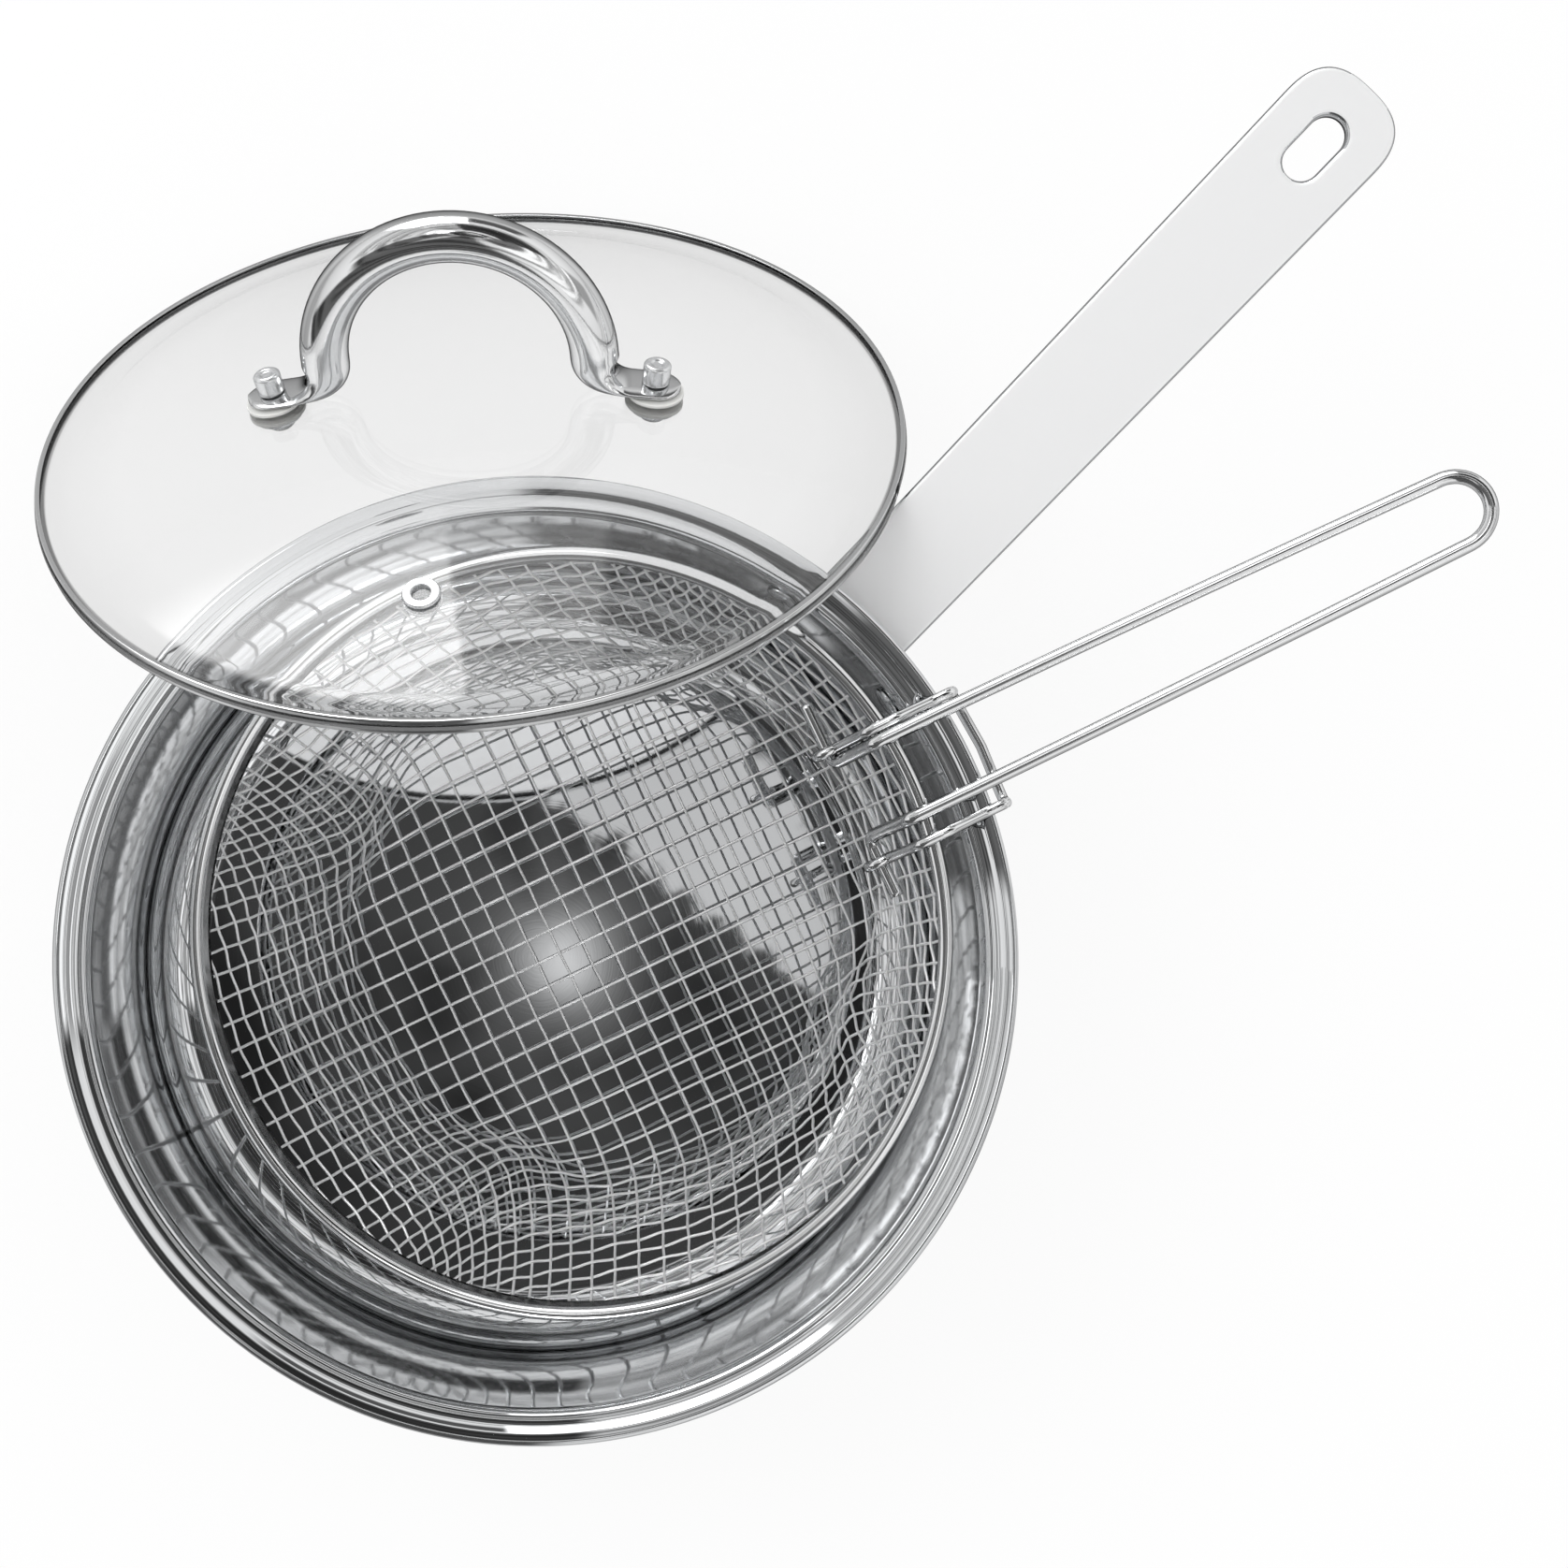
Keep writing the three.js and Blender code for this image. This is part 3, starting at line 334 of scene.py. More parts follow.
@dataclass
class ShaderBench:
    """A node tree, and short ways to add nodes to it."""

    tree: bpy.types.NodeTree

    def add(self, kind: str, **settings: object) -> Node:
        """Adds a node.

        Args:
            kind: The node's Blender type.
            settings: Attributes of the node, or values of its inputs by name with _ for blanks.

        Returns:
            The node.
        """
        node = self.tree.nodes.new(kind)
        for name, value in settings.items():
            socket = node.inputs.get(name.replace("_", " "))
            if socket is not None:
                socket.default_value = value
            else:
                setattr(node, name, value)
        return node

    def join(self, source: Socket, target: Socket) -> None:
        """Links one node's output to another's input."""
        self.tree.links.new(source, target)

    def maths(self, operation: str, *values: object) -> Socket:
        """Adds a Math node whose inputs are numbers or sockets, and gives its output."""
        node = self.add("ShaderNodeMath", operation=operation)
        for socket, value in zip(node.inputs, values):
            if isinstance(value, Socket):
                self.join(value, socket)
            else:
                socket.default_value = value
        return node.outputs[0]

    def times(self, first: object, second: object) -> Socket:
        """Adds the product of two numbers or sockets."""
        return self.maths("MULTIPLY", first, second)

    def squares(self, first: Socket, second: Socket) -> Socket:
        """Adds the sum of two values' squares."""
        return self.maths("ADD", self.maths("POWER", first, 2.0), self.maths("POWER", second, 2.0))

    def object_place(self) -> Socket:
        """Adds the place on the piece, in its own coordinates."""
        return self.add("ShaderNodeTexCoord").outputs["Object"]

    def vector(self, *parts: Socket) -> Socket:
        """Adds a vector made of two or three values."""
        node = self.add("ShaderNodeCombineXYZ")
        for socket, part in zip(node.inputs, parts):
            self.join(part, socket)
        return node.outputs[0]

    def noise(self, place: Socket, **settings: float) -> Socket:
        """Adds smooth noise that is read at a place, and gives its value."""
        node = self.add("ShaderNodeTexNoise", **settings)
        self.join(place, node.inputs["Vector"])
        return node.outputs["Fac"]

    def emboss(self, height: Socket, depth: float, shader: Node) -> None:
        """Adds a bump of a depth in metres to a shader, where a height goes from 0 to 1."""
        bump = self.add("ShaderNodeBump", Strength=1.0, Distance=depth)
        self.join(height, bump.inputs["Height"])
        self.join(bump.outputs["Normal"], shader.inputs["Normal"])

    def between(self, value: Socket, low: float, high: float) -> Socket:
        """Adds a smooth step that goes from 0 at the low value to 1 at the high one."""
        node = self.add("ShaderNodeMapRange", interpolation_type="SMOOTHSTEP")
        node.inputs["From Min"].default_value = low
        node.inputs["From Max"].default_value = high
        self.join(value, node.inputs["Value"])
        return node.outputs["Result"]

    def blend(self, share: Socket, first: object, second: object) -> Socket:
        """Adds a mix: the first value where the share is 0, the second where it is 1."""
        node = self.add("ShaderNodeMix", data_type="FLOAT")
        self.join(share, node.inputs[0])
        for socket, value in ((node.inputs[2], first), (node.inputs[3], second)):
            if isinstance(value, Socket):
                self.join(value, socket)
            else:
                socket.default_value = value
        return node.outputs[0]

    def ramp(self, value: Socket, stops: list[tuple[float, float]]) -> Socket:
        """Adds a grey ramp over a value, with stops as (place, brightness) pairs."""
        node = self.add("ShaderNodeValToRGB")
        elements = node.color_ramp.elements
        while len(elements) < len(stops):
            elements.new(0.5)
        for element, (place, grey) in zip(elements, stops):
            element.position = place
            element.color = (grey, grey, grey, 1.0)
        self.join(value, node.inputs["Fac"])
        return node.outputs["Color"]


@dataclass(frozen=True)
class Finish:
    """What all finishes share: a name, and a material that is built once."""

    name: str

    def material(self) -> Material:
        """Builds the finish once and gives it back whenever it is asked for again."""
        known = bpy.data.materials.get(self.name)
        if known is not None:
            return known
        made = bpy.data.materials.new(self.name)
        made.use_nodes = True
        self.dress(made, ShaderBench(made.node_tree), made.node_tree.nodes["Principled BSDF"])
        return made

    def dress(self, made: Material, bench: ShaderBench, shader: Node) -> None:
        """Gives the material its colour, gloss and surface.

        Args:
            made: The material.
            bench: Its nodes.
            shader: Its Principled shader.
        """
        raise NotImplementedError


@dataclass(frozen=True)
class SteelFinish(Finish):
    """A steel or aluminium surface with fine lines from polishing or drawing.

    Attributes:
        name: The finish's name.
        colour: Its base colour, linear.
        roughness: The blur of its reflections.
        swing: How much the lines change that blur.
        grain: The direction of the lines.
        line_width: The lines' width, in metres.
        line_depth: The lines' depth, in metres.
        edge: How bright its reflections stay where the surface turns away from the eye.
        metal: How far it mirrors; the rest is the pale haze of a satin skin.
        turn_stretch: Metres of pattern for each radian round the axis of turned lines.
        along_stretch: How much the pattern of lines along X is drawn out.
        dull_range: The pattern's values between which the blur goes from its least to its most.
    """

    colour: tuple[float, float, float]
    roughness: float
    swing: float
    grain: Grain
    line_width: float = 0.0004
    line_depth: float = 0.000004
    edge: float = 0.3
    metal: float = 1.0
    turn_stretch: float = 0.0006
    along_stretch: float = 0.02
    dull_range: tuple[float, float] = (0.25, 0.75)

    def dress(self, made: Material, bench: ShaderBench, shader: Node) -> None:
        """Gives the material its colour, and lines that change its blur and emboss it."""
        made.diffuse_color = (*self.colour, 1.0)
        shader.inputs["Base Color"].default_value = (*self.colour, 1.0)
        shader.inputs["Metallic"].default_value = self.metal
        shader.inputs["Specular Tint"].default_value = (self.edge, self.edge, self.edge, 1.0)
        lines = self.lines(bench)
        first, last = self.dull_range
        least = self.roughness - self.swing
        most = self.roughness + self.swing
        bench.join(bench.ramp(lines, [(first, least), (last, most)]), shader.inputs["Roughness"])
        bench.emboss(lines, self.line_depth, shader)

    def lines(self, bench: ShaderBench) -> Socket:
        """Adds the noise that draws the lines, drawn out along them, and gives its value.

        Turned lines read the reach from the pan's axis, the height and a little of the angle round it.
        """
        split = bench.add("ShaderNodeSeparateXYZ")
        bench.join(bench.object_place(), split.inputs[0])
        x, y, z = split.outputs
        if self.grain is Grain.TURNED:
            around = bench.times(bench.maths("ARCTAN2", y, x), self.turn_stretch)
            place = bench.vector(bench.maths("SQRT", bench.squares(x, y)), z, around)
        elif self.grain is Grain.ALONG:
            place = bench.vector(bench.times(x, self.along_stretch), y, z)
        else:
            place = bench.vector(x, y, z)
        return bench.noise(place, Scale=1.0 / self.line_width, Detail=3.0, Roughness=0.6)


@dataclass(frozen=True)
class GlassFinish(Finish):
    """Clear dome glass with a faint smoky tint, painted shade towards its edge and a trace of waviness.

    Attributes:
        name: The finish's name.
        refraction: The glass's index of refraction.
        ripple: The depth of its waves, in metres.
        ripple_fineness: How many waves there are to a metre.
        preview: Its colour and cover in a plain view.
        centre: The pane's middle, in metres.
        tint_and_painted_shade: The grey at distances from the middle, in metres: a faint tint in the
            middle,
        painted shade that darkens it towards the edge, and a painted dark ring of shade where the pane is
        sealed into its band.
    """

    name: str = "clear_dome_glass"
    refraction: float = 1.52
    ripple: float = 0.00002
    ripple_fineness: float = 22.0
    preview: tuple[float, float, float, float] = (0.92, 0.94, 0.94, 0.4)
    centre: tuple[float, float, float] = (0.0, 0.0, 0.0)
    # painted shade: the greys fall towards the edge, and a dark ring of shade stands where the pane meets
    # its band
    tint_and_painted_shade: tuple[tuple[float, float], ...] = (
        (0.0, 0.95), (0.060, 0.945), (0.095, 0.915), (0.1153, 0.84), (0.1157, 0.20), (0.120, 0.20),
    )

    def dress(self, made: Material, bench: ShaderBench, shader: Node) -> None:
        """Lets light through the material, greys it by the reach from its middle with painted shade towards
        the edge, and ripples it.
        """
        made.diffuse_color = self.preview
        shader.inputs["Roughness"].default_value = 0.0
        shader.inputs["IOR"].default_value = self.refraction
        shader.inputs["Transmission Weight"].default_value = 1.0
        place = bench.object_place()
        reach = bench.add("ShaderNodeVectorMath", operation="DISTANCE")
        bench.join(place, reach.inputs[0])
        reach.inputs[1].default_value = self.centre
        widest = self.tint_and_painted_shade[-1][0]
        share = bench.maths("DIVIDE", reach.outputs["Value"], widest)
        # painted shade: the ramp darkens the glass towards its edge and at the band
        tint = bench.ramp(share, [(distance / widest, grey) for distance, grey in self.tint_and_painted_shade])
        bench.join(tint, shader.inputs["Base Color"])
        waves = bench.noise(place, Scale=self.ripple_fineness, Detail=1.0)
        bench.emboss(waves, self.ripple, shader)


@dataclass(frozen=True)
class RubberFinish(Finish):
    """Translucent silicone rubber with a dull, faintly mottled skin.

    Attributes:
        name: The finish's name.
        colour: Its base colour, linear.
        roughness: The blur of its reflections.
        swing: How much the mottles change that blur.
        mottle_fineness: How many mottles there are to a metre.
        milkiness: The share of light that goes into it and comes out again.
        milk_depth: How far that light goes, in metres.
    """

    name: str = "clear_silicone_seal"
    colour: tuple[float, float, float] = (0.80, 0.80, 0.78)
    roughness: float = 0.45
    swing: float = 0.08
    mottle_fineness: float = 900.0
    milkiness: float = 0.25
    milk_depth: float = 0.002

    def dress(self, made: Material, bench: ShaderBench, shader: Node) -> None:
        """Gives the material its colour, its milky depth and its mottled blur."""
        made.diffuse_color = (*self.colour, 1.0)
        shader.inputs["Base Color"].default_value = (*self.colour, 1.0)
        shader.inputs["Subsurface Weight"].default_value = self.milkiness
        shader.inputs["Subsurface Radius"].default_value = (self.milk_depth,) * 3
        mottles = bench.noise(bench.object_place(), Scale=self.mottle_fineness, Detail=2.0)
        low = self.roughness - self.swing
        high = self.roughness + self.swing
        bench.join(bench.ramp(mottles, [(0.3, low), (0.7, high)]), shader.inputs["Roughness"])


# Assemblies


@dataclass
class Assembly:
    """What the pan, the lid and the basket share: a frame of their own, and the body that they ride.

    Attributes:
        body: The body that its pieces move with.
        turn: The 3 by 3 rotation from its frame to the pan's.
        origin: Where its frame's origin lies in the pan's, in millimetres.
    """

    body: str = "pot"
    turn: Points = field(default_factory=lambda: np.eye(3))
    origin: Points = field(default_factory=lambda: np.zeros(3))

    def add(
        self, skin: Skin, name: str, finish: Finish, slot: str, *nodes: str, body: str = ""
    ) -> Piece:
        """Makes a surface into a mesh object, closes its seams and poles, and rides it on its body.

        Args:
            skin: The surface in this assembly's frame, in millimetres.
            name: The piece's name.
            finish: Its finish.
            slot: The record's material slot; not used.
            nodes: The solids that it stands for.
            body: The body that it moves with, where that isn't the assembly's own.

        Returns:
            The object.
        """
        body = body or self.body
        mesh = bpy.data.meshes.new(name)
        mesh.from_pydata(skin.placed(self.turn, self.origin).points * MILLIMETRE, [], skin.faces)
        shell = bmesh.new()
        shell.from_mesh(mesh)
        bmesh.ops.remove_doubles(shell, verts=shell.verts, dist=SEAM_WIDTH)
        bmesh.ops.dissolve_degenerate(shell, dist=SLIVER_WIDTH, edges=shell.edges)
        bmesh.ops.recalc_face_normals(shell, faces=shell.faces)
        shell.to_mesh(mesh)
        shell.free()
        mesh.polygons.foreach_set("use_smooth", np.ones(len(mesh.polygons), dtype=bool))
        mesh.materials.append(finish.material())
        mesh.update()
        piece = bpy.data.objects.new(name, mesh)
        bpy.context.scene.collection.objects.link(piece)
        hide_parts(*nodes)
        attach(piece, body)
        LOG.info("%s: %d faces on %s", name, len(mesh.polygons), body)
        return piece


# The pan


MIRROR_STEEL = SteelFinish(
    "mirror_steel",
    (0.80, 0.81, 0.82),
    0.03,
    0.012,
    Grain.TURNED,
    line_width=0.0008,
    line_depth=0.000005,
    edge=0.95,
)
FLOOR_STEEL = SteelFinish(
    "spun_floor_steel",
    (0.74, 0.75, 0.76),
    0.022,
    0.01,
    Grain.TURNED,
    line_width=0.0007,
    line_depth=0.0000008,
)
BASE_STEEL = SteelFinish("turned_base_steel", (0.60, 0.61, 0.62), 0.27, 0.06, Grain.TURNED)
STRAP_STEEL = SteelFinish(
    "satin_strap_steel", (0.90, 0.902, 0.905), 0.46, 0.05, Grain.ALONG, edge=0.1, metal=0.3
)
# painted shade: a darker steel for the strap's faces that turn down, against the paler top; it is also
# glossier
STRAP_SHADED_EDGE_STEEL = SteelFinish("strap_shaded_edge_steel", (0.70, 0.71, 0.72), 0.12, 0.03, Grain.DRAWN, edge=0.0)
BRACKET_STEEL = SteelFinish("bracket_steel", (0.66, 0.67, 0.68), 0.25, 0.05, Grain.DRAWN)
RIVET_STEEL = SteelFinish("rivet_steel", (0.74, 0.75, 0.76), 0.16, 0.04, Grain.DRAWN)
CORE_ALUMINIUM = SteelFinish("core_aluminium", (0.78, 0.78, 0.79), 0.40, 0.06, Grain.TURNED)


@dataclass
class Pan(Assembly):
    """The pan: its pressed body, base, strap handle, bracket and rivets.

    Attributes:
        lip_line: The lip's points, out from and over the top of the riser.
        roll_angles: Where the rolled rim's arc starts and ends, from level.
        bend_support: How far off a bend the sheet's next ring lies, on the floor and on the wall.
        floor_margin: How far past the flat floor its spun finish reaches, outwards and upwards.
        shaded_edge_upward: The strap's faces that point up less than this get the glossier edge steel,
            whose darker colour paints shade on them.
    """

    height: float = 120.0
    bore_radius: float = 116.0
    rim_radius: float = 125.0
    sheet: float = 0.9
    corner_radius: float = 16.0
    lip_height: float = 8.0
    seat_radius: float = 118.3
    seat_depth: float = 3.0
    lip_width: float = 3.4
    riser_rise: float = 2.15
    riser_foot: float = 0.1
    lip_line: tuple[tuple[float, float], ...] = ((0.25, 0.18), (0.8, 0.42), (1.3, 0.60))
    rim_roll: float = 1.3
    roll_angles: tuple[float, float] = (0.62 * math.pi, -0.9 * math.pi)
    bend_support: tuple[float, float] = (0.5, 1.0)
    floor_margin: tuple[float, float] = (1.0, 0.5)
    shaded_edge_upward: float = 0.82
    floor_height: float = 5.3
    base_height: float = 5.0
    base_radius: float = 97.0
    base_sheet: float = 0.7
    base_bevel: float = 1.2
    cap_inset: float = 0.02
    cap_support: tuple[float, float] = (0.6, 0.8)
    core_edge: float = 0.3
    core_top_edge: float = 0.2
    plate_edge: float = 0.5
    saddle_corner: float = 5.0
    tongue_corner: float = 3.0
    saddle_sheet: float = 1.8
    saddle_half_degrees: float = 14.5
    saddle_height: float = 24.0
    tongue_length: float = 34.0
    tongue_sheet: float = 2.0
    rivet_drop: float = 15.5
    rivet_half_degrees: float = 9.7
    rivet_radius: float = 2.4
    rivet_head_radius: float = 4.8
    rivet_head_height: float = 1.8
    rivet_brim: float = 0.3
    gap: float = 0.3

    @property
    def outer_radius(self) -> float:
        """The outside of the straight wall."""
        return self.bore_radius + self.sheet

    def build(self) -> None:
        """Makes every piece of the pan."""
        shell = self.add(self.shell(), "pan_shell", MIRROR_STEEL, "polished_steel", "pot_body")
        self.dress_floor(shell)
        self.add(self.base_plate(), "base_plate", BASE_STEEL, "satin_steel", "base_cap")
        self.add(self.core_disc(), "core_disc", CORE_ALUMINIUM, "core_aluminium", "base_core")
        strap = Strap(root=self.outer_radius + self.saddle_sheet + 2.0 * self.gap, rim_height=self.height)
        grip = self.add(strap.skin(), "strap_handle", STRAP_STEEL, "polished_steel", "pan_handle")
        # painted shade: the faces that turn down get the darker edge steel
        self.shade_strap_edges(grip)
        bracket = self.saddle().joined(self.tongue(strap))
        self.add(bracket, "bracket", BRACKET_STEEL, "satin_steel", "handle_bracket")
        for side, word in SIDES:
            rivet = self.rivet(side)
            self.add(rivet, f"rivet_{word}", RIVET_STEEL, "polished_steel", f"handle_rivet_{word}")

    def shell(self) -> Skin:
        """The pressed body: floor, corner arc, wall, flared seat, small riser, lip and rolled rim."""
        middle = self.sheet / 2.0
        wall = self.bore_radius + middle
        bend = self.corner_radius + middle
        floor = self.floor_height + middle
        seat = self.height - self.seat_depth - middle
        lip_start = self.height - self.lip_height
        share = np.linspace(0.0, 1.0, 14)[:, None]
        flare_start = np.array([wall, lip_start])
        flare_end = np.array([self.seat_radius, seat])
        flare = quadratic(flare_start, np.array([wall, seat]), flare_end, share)
        riser = np.array([self.rim_radius - self.lip_width, seat + self.riser_rise])
        foot = riser - np.array([self.riser_rise, self.riser_rise - self.riser_foot])
        lip = riser + np.array(self.lip_line)
        roll_centre = (self.rim_radius - self.rim_roll, self.height - self.rim_roll)
        roll = arc(roll_centre, self.rim_roll - middle, *self.roll_angles, 18)
        inward, upward = self.bend_support
        flat = np.linspace((0.0, floor), (wall - bend - inward, floor), 24)
        corner = arc((wall - bend, floor + bend), bend, -QUARTER_TURN, 0.0, 14)
        straight = np.linspace((wall, floor + bend + upward), (wall, lip_start - upward), 12)
        line = np.concatenate([flat, corner, straight, flare, foot[None], riser[None], lip, roll])
        return revolved(pressed(line, self.sheet), steps=192, closed=False)

    def dress_floor(self, shell: Piece) -> None:
        """Gives the inner floor, up to where its corner starts, the spun finish."""
        centres = face_values(shell, "center") / MILLIMETRE
        outward, upward = self.floor_margin
        inside = centres[:, 2] > self.floor_height + self.sheet * 0.75
        near = np.hypot(centres[:, 0], centres[:, 1]) < self.bore_radius - self.corner_radius + outward
        low = centres[:, 2] < self.floor_height + self.sheet + upward
        second_finish(shell, FLOOR_STEEL, inside & near & low)

    def shade_strap_edges(self, grip: Piece) -> None:
        """Gives the strap's rolled edges, where its top turns down, a glossier steel whose darker colour is
        painted shade.
        """
        second_finish(grip, STRAP_SHADED_EDGE_STEEL, face_values(grip, "normal")[:, 2] < self.shaded_edge_upward)

    def base_plate(self) -> Skin:
        """The pressed steel cap under the core: a flat disc with a bevel and a short upright edge."""
        middle = self.base_sheet / 2.0
        out = self.base_radius - middle
        inward, upward = self.cap_support
        corner = np.array([[out - self.base_bevel, middle], [out, self.base_bevel + middle]])
        flat = np.linspace((0.0, middle), (out - self.base_bevel - inward, middle), 20)
        top = self.base_height - self.cap_inset
        upright = np.linspace((out, self.base_bevel + upward), (out, top), 4)
        line = np.concatenate([flat, corner, upright])
        return revolved(pressed(line, self.base_sheet), 144, closed=False)

    def core_disc(self) -> Skin:
        """The aluminium disc between the cap and the body."""
        radius = self.base_radius - self.base_sheet - self.gap
        low = self.base_sheet + self.gap
        top = self.base_height
        bevel = self.base_bevel
        bottom = [[0.0, low], [radius - bevel, low], [radius, low + bevel]]
        corners = np.array([*bottom, [radius, top], [0.0, top]])
        setback = np.array([0.0, self.core_edge, self.core_edge, self.core_top_edge, 0.0])
        return revolved(rounded(corners, setback, 4), 128, closed=False)

    def saddle(self) -> Skin:
        """The bracket's curved plate: a flat plate with soft edges, wrapped on the pan's wall.

        A place x across the plate becomes the angle x over the radius round the pan's axis.
        """
        radius = self.outer_radius + self.gap
        half = radius * math.radians(self.saddle_half_degrees)
        size = (half, self.saddle_height / 2.0)
        plate = soft_plate(size, self.saddle_sheet, self.plate_edge, self.saddle_corner)
        x, y, z = plate.points.T
        reach = radius + self.saddle_sheet / 2.0 + z
        middle = self.height - self.lip_height - self.saddle_height / 2.0
        wrapped = np.column_stack([reach * np.cos(x / radius), reach * np.sin(x / radius), middle + y])
        return Skin(wrapped, plate.faces)

    def tongue(self, strap: Strap) -> Skin:
        """The bracket's flat tongue, which lies under the strap's upper face."""
        width = strap.root_width - 2.0 * (strap.sheet + self.gap)
        length = self.tongue_length + self.saddle_sheet
        size = (length / 2.0, width / 2.0)
        plate = soft_plate(size, self.tongue_sheet, self.plate_edge, self.tongue_corner)
        lower = -strap.sheet - self.gap - self.tongue_sheet / 2.0
        plate.points += np.array([(self.tongue_length - self.saddle_sheet) / 2.0, 0.0, lower])
        turn, origin = strap.frame()
        return plate.placed(turn, origin)

    def rivet(self, side: float) -> Skin:
        """A rivet on its radial axis: a low dome inside the pan, the shank, and one on the bracket."""
        inside = self.bore_radius - self.gap
        outside = self.outer_radius + self.saddle_sheet + 2.0 * self.gap
        head = self.rivet_head_radius
        swell = arc((0.0, 0.0), 1.0, 0.0, QUARTER_TURN, 8)
        dome = self.rivet_brim + (self.rivet_head_height - self.rivet_brim) * swell[:, 1]
        outer = np.column_stack([head * swell[:, 0], outside + dome])
        inner = np.column_stack([head * swell[:, 0], inside - dome])
        stem = self.rivet_radius
        shank = np.array([[head, inside], [stem, inside], [stem, outside], [head, outside]])
        skin = revolved(np.concatenate([inner[::-1], shank, outer]), 48, closed=False)
        angle = side * math.radians(self.rivet_half_degrees)
        out = np.array([math.cos(angle), math.sin(angle), 0.0])
        across = np.array([-math.sin(angle), math.cos(angle), 0.0])
        turn = np.column_stack([across, np.cross(out, across), out])
        return skin.placed(turn, np.array([0.0, 0.0, self.height - self.rivet_drop]))


def face_values(piece: Piece, kind: str) -> Points:
    """Reads a vector of every face of a piece, such as its center or its normal."""
    faces = piece.data.polygons
    values = np.zeros(len(faces) * 3)
    faces.foreach_get(kind, values)
    return values.reshape(-1, 3)


def second_finish(piece: Piece, finish: Finish, chosen: NDArray[np.bool_]) -> None:
    """Gives the chosen faces of a piece another finish than its first."""
    piece.data.materials.append(finish.material())
    piece.data.polygons.foreach_set("material_index", chosen.astype(np.int32))


def soft_plate(half: tuple[float, float], thickness: float, edge: float, corner: float) -> Skin:
    """A flat plate with rounded corners and softened edges.

    Rings of the outline, scaled about the middle, run over the top face, down the rounded edge and
    back under the plate.

    Args:
        half: Half its length and half its width.
        thickness: Its thickness.
        edge: The rounding of its edges.
        corner: The radius of its corners.

    Returns:
        The plate, centred on the origin.
    """
    box = np.array([[half[0], half[1]], [-half[0], half[1]], [-half[0], -half[1]], [half[0], -half[1]]])
    outline = rounded(box, corner, 10)
    outline = np.column_stack([outline, np.zeros(len(outline))])
    outline = evened(np.vstack([outline, outline[:1]]), 1.6)[:-1, :2]
    inset = 1.0 - edge / np.abs(outline).max(axis=0).min()
    scales = np.concatenate([np.linspace(0.0, inset, 10), np.full(5, inset)])
    turn = np.linspace(0.0, QUARTER_TURN, 6)[1:]
    scales[-5:] += (1.0 - inset) * np.sin(turn)
    heights = np.full(len(scales), thickness / 2.0)
    heights[-5:] -= edge * (1.0 - np.cos(turn))
    scales = np.concatenate([scales, scales[::-1]])
    heights = np.concatenate([heights, -heights[::-1]])
    flat = scales[:, None, None] * outline[None]
    lift = np.broadcast_to(heights[:, None, None], (*flat.shape[:2], 1))
    return grid_skin(np.concatenate([flat, lift], axis=-1), wrap_columns=True)


